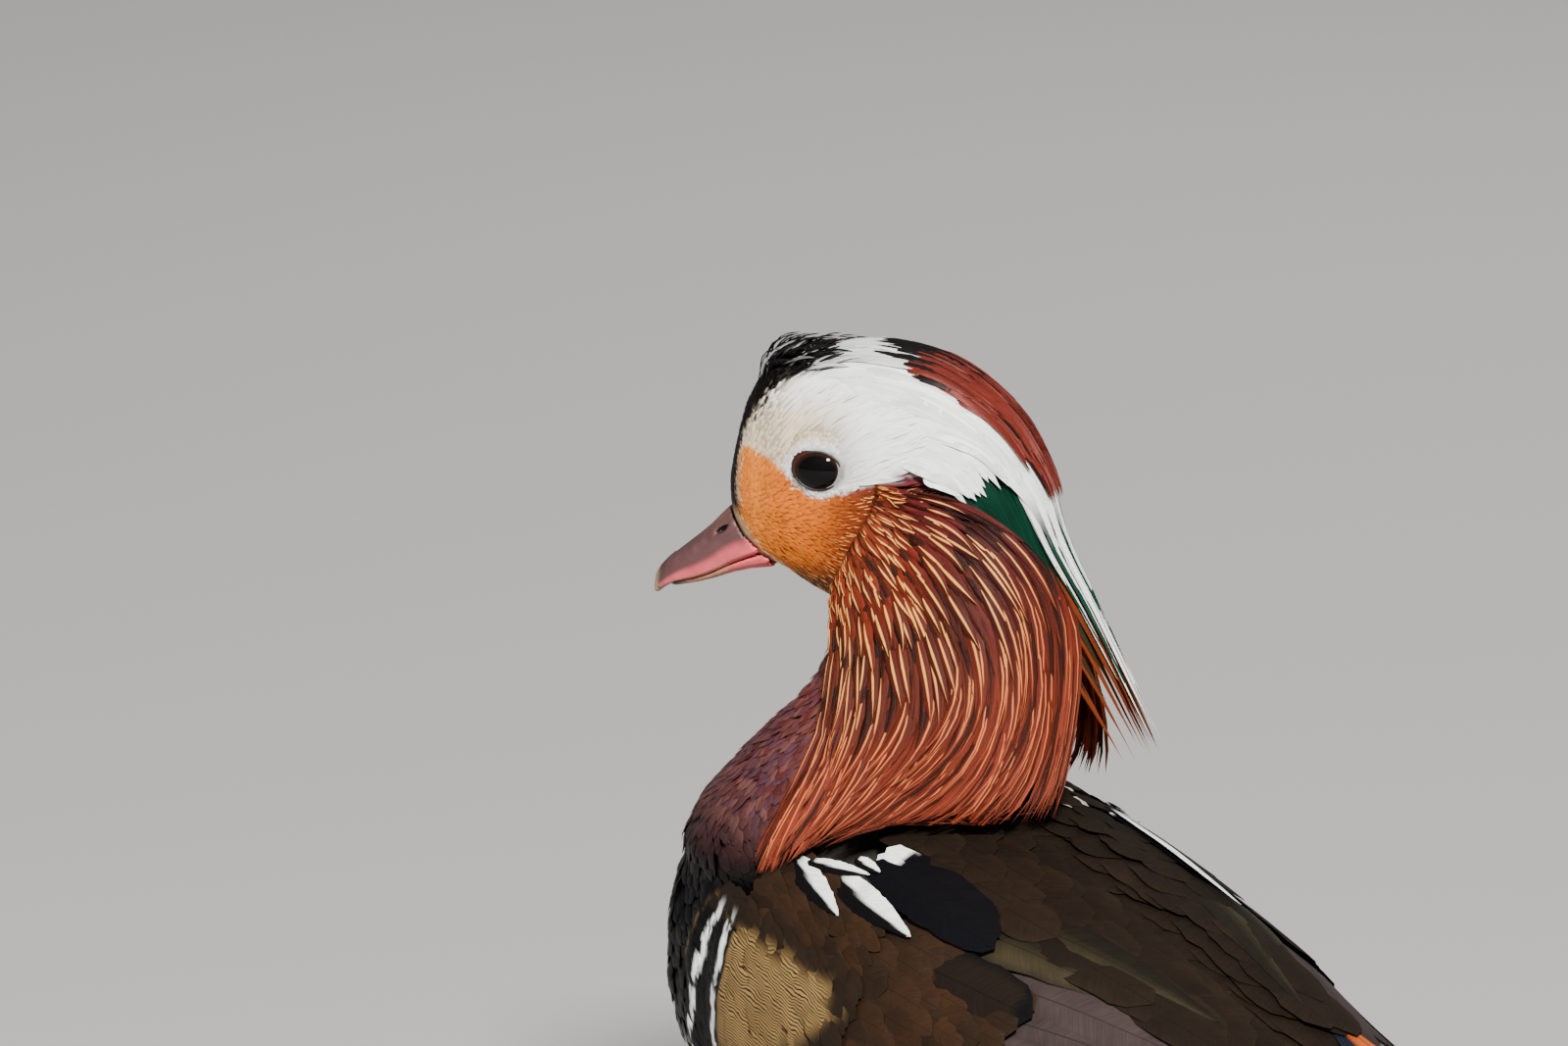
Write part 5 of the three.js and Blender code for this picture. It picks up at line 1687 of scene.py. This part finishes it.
def bill_piece(name, node, passes):
    """A finer bill from its solid, with its nostrils, nail and the soft edge of the mouth."""
    mesh = fused(name, (node,), BILL_VOXEL, passes)
    points, normals = vectors(mesh, "co") / MM, vectors(mesh, "normal")
    f, l, z = to_head(points)
    m, upper = np.abs(l), node == "bill_upper"
    side = step(2.5, 4, m)
    along = (f - NOSTRIL[0]) * 0.8 - (z - NOSTRIL[1]) * 0.6
    rise = (f - NOSTRIL[0]) * 0.6 + (z - NOSTRIL[1]) * 0.8
    slit = np.hypot(along / 2.0, rise / 0.7)
    dent = upper * side * (step(2.2, 1.2, slit) * 0.3 - step(1.2, 0.5, slit) * 1.2)
    folds = upper * side * step(5.5, 2.5, np.abs(slit - 3)) * 0.06 * np.sin(slit * 4.2)
    nail = upper * step(40.6, 41.4, f - 0.12 * m**2) * step(3.8, 3.1, m)
    height = (z - gape_z(f)) / (culmen_z(f) - gape_z(f))
    lip = upper * step(0.16, 0.1, height) * 0.18
    points = points + normals * (0.2 + dent + folds + nail * 0.25 + lip)[:, None]
    move_to(mesh, points)
    colour = flat(HORN, f)
    colour = over(colour, RIDGE, step(3.5, 1.0, m) * step(44, 36, f) * 0.6)
    ridge = step(24, 28, f) * step(34, 28, f) * step(0.7, 0.95, height)
    colour = over(colour, BRIDGE, ridge * 0.5)
    pink = step(0.42, 0.22, height + 0.1 * step(38, 44, f))
    colour = over(colour, PINK, pink)
    colour = over(colour, LIP, step(0.14, 0.06, height) * step(20, 27, f) * 0.6)
    colour = over(colour, BILL_ROOT, step(22, 14, f) * step(0.5, 0.3, height) * 0.9)
    # Painted shade in the nostril openings.
    colour = over(colour, NOSTRIL_PAINTED_SHADE, step(1.25, 0.6, slit) * side * upper)
    colour = over(colour, NAIL, nail * 0.8)
    colour = over(colour, NAIL_TIP, nail * step(43.6, 45.4, f) * 0.7)
    if not upper:
        colour = over(flat(LOWER_PINK, f), LOWER_HORN, step(22, 30, f))
        colour = over(colour, LOWER_TIP, step(36, 40, f))
    paint_mesh(mesh, colour)
    unwrap(mesh, np.stack([0.5 + np.arctan2(l, z + 26) / 6.6, 0.02 + (f - 5) / 45], -1))
    finish = Finish(name + "_horn")
    pits = finish.noise(finish.place(), 900.0, 3.0)
    cloud = finish.noise(finish.place(), 240.0, 4.0)
    tone = finish.scaled(finish.attribute("tint"), 0.6 + cloud * 0.8)
    finish.surface(
        Base_Color=tone,
        Roughness=0.36 + pits * 0.2,
        Normal=finish.bump(pits + cloud, 0.14 * MM, 0.5),
        Specular_IOR_Level=0.45,
        Coat_Weight=0.1,
        Coat_Roughness=0.3,
    )
    add_object(name, mesh, "bill", finish.material, node)


bill_piece("upper_bill", "bill_upper", 4)
bill_piece("lower_bill", "bill_lower", 3)

# ---- eyes and lids

# The radii of the pupil and the iris, then the lid's ring: its half length, height and thickness.
PUPIL, IRIS = 4.0, 4.8
PUPIL_BLACK, IRIS_BROWN, IRIS_RED = srgb(6, 5, 6), srgb(34, 16, 9), srgb(74, 26, 16)
LID_REACH, LID_HIGH, LID_THICK = 6.05, 4.85, 0.32
# How much longer the eye is along the head, and the radius of the hoop that the lid is bent from.
EYE_LONG, HOOP = 1.22, 5


def eye_finish():
    finish = Finish("eye_gloss")
    cloud = finish.noise(finish.place(), 1500.0, 2.0)
    tone = finish.scaled(finish.attribute("tint"), 0.7 + cloud * 0.6)
    return finish.surface(
        Base_Color=tone,
        Roughness=0.55 + cloud * 0.1,
        Coat_Weight=1.0,
        Coat_Roughness=0.03,
        Coat_IOR=1.22,
        Specular_IOR_Level=0.02,
    )


def grained(name, scale, detail, dark, pale, rough, relief):
    """A bare skin or horn whose fine grain runs between two colours."""
    finish = Finish(name)
    grain = finish.noise(finish.place(), scale, detail)
    tone = finish.blend(grain, dark, pale)
    return finish.surface(Base_Color=tone, Roughness=rough, Normal=finish.bump(grain, relief * MM))


eye_gloss = eye_finish()
lid_skin = grained("lid_skin", 1600.0, 2.0, srgb(9, 8, 8), srgb(26, 22, 20), 0.45, 0.1)
for side, word in SIDES:
    shape = bmesh.new()
    bmesh.ops.create_uvsphere(shape, u_segments=64, v_segments=48, radius=EYE_RADIUS, calc_uvs=True)
    local = np.array([vert.co for vert in shape.verts])
    placed_at = in_head(local[:, 0] * EYE_LONG, side * (EYE_SIDE + local[:, 2]), local[:, 1])
    for vert, co in zip(shape.verts, placed_at * MM):
        vert.co = co
    mesh = mesh_of("eye_ball_" + word, shape)
    away = np.hypot(local[:, 0], local[:, 1])
    colour = flat(PUPIL_BLACK, away)
    colour = over(colour, IRIS_BROWN, step(PUPIL - 0.15, PUPIL + 0.3, away))
    colour = over(colour, IRIS_RED, step(IRIS - 0.45, IRIS - 0.1, away) * 0.7)
    paint_mesh(mesh, np.where(local[:, 2:] > 0, colour, PUPIL_BLACK))
    add_object("eye_ball_" + word, mesh, "eye", eye_gloss, "eye_" + word)

    shape = bmesh.new()
    bmesh.ops.create_circle(shape, segments=12, radius=1.0)
    upright = Matrix.Rotation(math.pi / 2, 3, "X")
    bmesh.ops.rotate(shape, verts=shape.verts, cent=(0, 0, 0), matrix=upright)
    bmesh.ops.translate(shape, verts=shape.verts, vec=(HOOP, 0, 0))
    bmesh.ops.spin(
        shape, geom=shape.verts[:] + shape.edges[:], cent=(0, 0, 0), axis=(0, 0, 1),
        angle=math.tau, steps=72, use_merge=True,
    )
    for vert in shape.verts:
        x, y, z = vert.co
        reach = math.hypot(x, y)
        across, up = x / reach, y / reach
        out, high = (reach - HOOP) * LID_THICK, z * LID_THICK
        ring_f, ring_z = (LID_REACH + out) * across, (LID_HIGH + out) * up
        past = math.hypot(LID_REACH / EYE_LONG * across, LID_HIGH * up)
        depth = math.sqrt((EYE_RADIUS + 0.1) ** 2 - past**2)
        vert.co = Vector(in_head(ring_f, side * (EYE_SIDE + depth + high + 0.1), ring_z) * MM)
    add_object("lid_" + word, mesh_of("lid_" + word, shape), "eye", lid_skin)

# ---- legs, feet and claws

LEG_SIDE, FOOT_Y = 25, -30
# Each toe's turn and the length from the foot's middle to its tip.
TOES = ((-0.52, 38), (-0.02, 46), (0.5, 43), (2.75, 13))
ANKLE_RADIUS, ANKLE_LEVELS = 2.9, (5.5, 7.5, 9.5, 11.5)
THIGH_FEATHERS, THIGH_LOW, THIGH_HIGH, THIGH_RINGS = 300, 44, 63, 7
CLAW_RADIUS, CLAW_LENGTH, CLAW_SUNK = 1.15, 4.4, 3.2
LEG_ORANGE, WEB_BROWN = srgb(196, 104, 34), srgb(84, 66, 52)
HOCK_WHITE, THIGH_WHITE = srgb(222, 214, 204), srgb(216, 212, 202)


def leg_finish():
    finish = Finish("scaled_skin")
    cells = finish.node(
        "TexVoronoi", {"feature": "DISTANCE_TO_EDGE"}, {"Vector": finish.place(), "Scale": 620.0}
    )
    plate = finish.between(0.02, 0.16, cells)
    cloud = finish.noise(finish.place(), 120.0, 3.0)
    tone = finish.scaled(finish.attribute("tint"), 0.55 + plate * 0.35 + cloud * 0.3)
    return finish.surface(
        Base_Color=tone, Roughness=0.5 + cloud * 0.15, Normal=finish.bump(plate, 0.25 * MM, 0.7)
    )


scaled_skin = leg_finish()
claw_horn = grained("claw_horn", 700.0, 3.0, srgb(28, 22, 18), srgb(74, 60, 46), 0.38, 0.08)
thigh_plumage = plumage("thigh_plumage", barb=0.3, slant=1.5, contrast=0.2, streak=0.1)
shank_y = Profile((6, -30), (22, -22), (42, -16), (56, -22), (82, -34))
thigh_radius = Profile((30, 3.4), (40, 4.6), (50, 7.5), (60, 9))
for side, word in SIDES:
    ankle = [(side * LEG_SIDE, float(shank_y(z)), z, ANKLE_RADIUS) for z in ANKLE_LEVELS]
    mesh = fused("leg_skin_" + word, ("leg_" + word, "foot_" + word), LEG_VOXEL, 3, ankle)
    points = vectors(mesh, "co") / MM
    points[:, 2] = np.maximum(points[:, 2], 0)
    move_to(mesh, points)
    reach = np.hypot(points[:, 0] - side * LEG_SIDE, points[:, 1] - FOOT_Y)
    heading = np.arctan2((points[:, 0] - side * LEG_SIDE) * side, FOOT_Y - points[:, 1])
    toe = np.min([np.abs(heading - turn) * reach for turn, _ in TOES[:3]], 0)
    web = step(3.0, 5.0, toe) * step(5, 2.5, points[:, 2]) * step(6, 12, reach)
    colour = over(flat(LEG_ORANGE, reach), WEB_BROWN, web)
    colour = over(colour, HOCK_WHITE, step(46, 54, points[:, 2]))
    paint_mesh(mesh, colour)
    unwrap(mesh, np.stack([around_map(heading), np.clip(0.02 + points[:, 2] / 90, 0, 1)], -1))
    add_object("leg_skin_" + word, mesh, "leg_skin", scaled_skin, "leg_" + word, "foot_" + word)

    plumes, count = Plumes(), int(THIGH_FEATHERS * FINE)
    least, most = [[0], [THIGH_LOW]], [[math.tau], [THIGH_HIGH]]
    around, top = draws.uniform(least, most, (2, count))[..., None, None]
    t, x = np.linspace(0, 1, THIGH_RINGS)[:, None], columns_of(3)
    high = top - draws.uniform(8, 12, (count, 1, 1)) * t
    away = thigh_radius(high) + 0.5 + 0.8 * t + 0.1 * (1 - x**2)
    turned = around + 1.3 * rounded(t) * x / away
    across, along = away * np.cos(turned), away * np.sin(turned)
    points = spots(side * LEG_SIDE + across, shank_y(high) + along, high)
    tint = with_alpha(varied(flat(THIGH_WHITE, away), 0.08), 0.0)
    home = np.concatenate([around[:, 0] / math.tau, (top[:, 0] - 30) / 60], -1)
    plumes.add(points, x, 10 * t[None, :, 0], tint, tint * 0.8, home, TUFT_PATCH)
    plumes.build("thigh_" + word, "body_feathers", thigh_plumage)

    shape = bmesh.new()
    for _ in TOES:
        made = bmesh.ops.create_cone(
            shape, cap_ends=True, cap_tris=True, segments=10, radius1=1.0, radius2=0.12, depth=1.0
        )["verts"]
        edges = {edge for vert in made for edge in vert.link_edges}
        tall = [edge for edge in edges if abs(edge.verts[0].co.z - edge.verts[1].co.z) > 0.5]
        bmesh.ops.subdivide_edges(shape, edges=tall, cuts=4)
    for (turn, length), island in zip(TOES, islands_of(shape)):
        for vert in island:
            t = vert.co.z + 0.5
            forward = length - CLAW_SUNK + CLAW_LENGTH * t
            across, hook = vert.co.x * CLAW_RADIUS, 0.6 * math.sin(t * math.pi) - 1.2 * t * t
            high = 1.5 + vert.co.y * CLAW_RADIUS + hook
            x = LEG_SIDE + forward * math.sin(turn) + across * math.cos(turn)
            y = FOOT_Y - forward * math.cos(turn) + across * math.sin(turn)
            vert.co = Vector((side * x, y, max(0.02, high))) * MM
    bmesh.ops.triangulate(shape, faces=shape.faces)
    add_object("claws_" + word, mesh_of("claws_" + word, shape), "leg_skin", claw_horn)

# ---- camera, floor and light

AZIMUTH, ELEVATION = math.radians(145), math.radians(15)
PIXELS_PER_MM = 4.12
EYE_PIXEL = (835, 480)
IMAGE = (1600, 1067)
LENS, SENSOR = 500.0, 36.0
# How far out the eye's surface is that the camera is aimed by, and how far the camera sees, in m.
EYE_OUT, CAMERA_SEES = 16.6, 50
back = Vector(
    (
        math.sin(AZIMUTH) * math.cos(ELEVATION),
        -math.cos(AZIMUTH) * math.cos(ELEVATION),
        math.sin(ELEVATION),
    )
)
across = Vector((0, 0, 1)).cross(back).normalized()
upward = back.cross(across)
eye_at = Vector(in_head(0, EYE_OUT, 0) * MM)
aim = (
    eye_at
    + across * ((IMAGE[0] / 2 - EYE_PIXEL[0]) / PIXELS_PER_MM * MM)
    - upward * ((IMAGE[1] / 2 - EYE_PIXEL[1]) / PIXELS_PER_MM * MM)
)
camera = linked("camera", bpy.data.cameras.new("camera"))
camera.data.lens, camera.data.sensor_width = LENS, SENSOR
camera.data.clip_end = CAMERA_SEES
distance = IMAGE[0] / PIXELS_PER_MM * MM * LENS / SENSOR
camera.location = aim + back * distance
camera.rotation_mode = "QUATERNION"
camera.rotation_quaternion = (-back).to_track_quat("-Z", "Y")
bpy.context.scene.camera = camera

LIGHTS_AIM = (0, -0.06, 0.18)


def light(name, way, distance, size, power, colour=(1, 1, 1), mirrored=False):
    """A soft light, which shows in the glossy eye only if mirrored."""
    data = bpy.data.lights.new(name, "AREA")
    data.size, data.energy, data.color = size, power, colour
    made = linked(name, data)
    way = Vector(way).normalized()
    made.location = Vector(LIGHTS_AIM) + way * distance
    made.rotation_mode = "QUATERNION"
    made.rotation_quaternion = way.to_track_quat("Z", "Y")
    made.visible_glossy = mirrored


SUN_TINT, SKY_TINT = (1, 0.97, 0.92), (0.92, 0.96, 1)
AIR_COLOUR, AIR_STRENGTH = (0.86, 0.88, 0.9, 1), 0.24
FLOOR_HALF, FLOOR_GREY = 20, srgb(176, 175, 172)
key_way = back * 0.9 + across * 0.1 + Vector((0, 0, 0.6))
light("key_light", key_way, 2.2, size=0.3, power=128, colour=SUN_TINT, mirrored=True)
fill_way = back * 0.4 - across * 1.0 + Vector((0, 0, 0.3))
light("fill_light", fill_way, 1.8, size=1.2, power=8, colour=SKY_TINT)
rim_way = back * -1.0 + across * 0.2 + Vector((0, 0, 0.9))
light("rim_light", rim_way, 1.8, size=0.8, power=12)
world = bpy.data.worlds.new("world")
world.use_nodes = True
sky = world.node_tree.nodes["Background"]
sky.inputs["Color"].default_value = AIR_COLOUR
sky.inputs["Strength"].default_value = AIR_STRENGTH
bpy.context.scene.world = world

floor_shape = bmesh.new()
bmesh.ops.create_grid(floor_shape, x_segments=2, y_segments=2, size=FLOOR_HALF)
floor_mesh = bpy.data.meshes.new("floor")
floor_shape.to_mesh(floor_mesh)
floor_shape.free()
floor = linked("floor", floor_mesh)
floor_finish = Finish("pale_floor")
floor_mesh.materials.append(floor_finish.surface(Base_Color=FLOOR_GREY, Roughness=0.8))
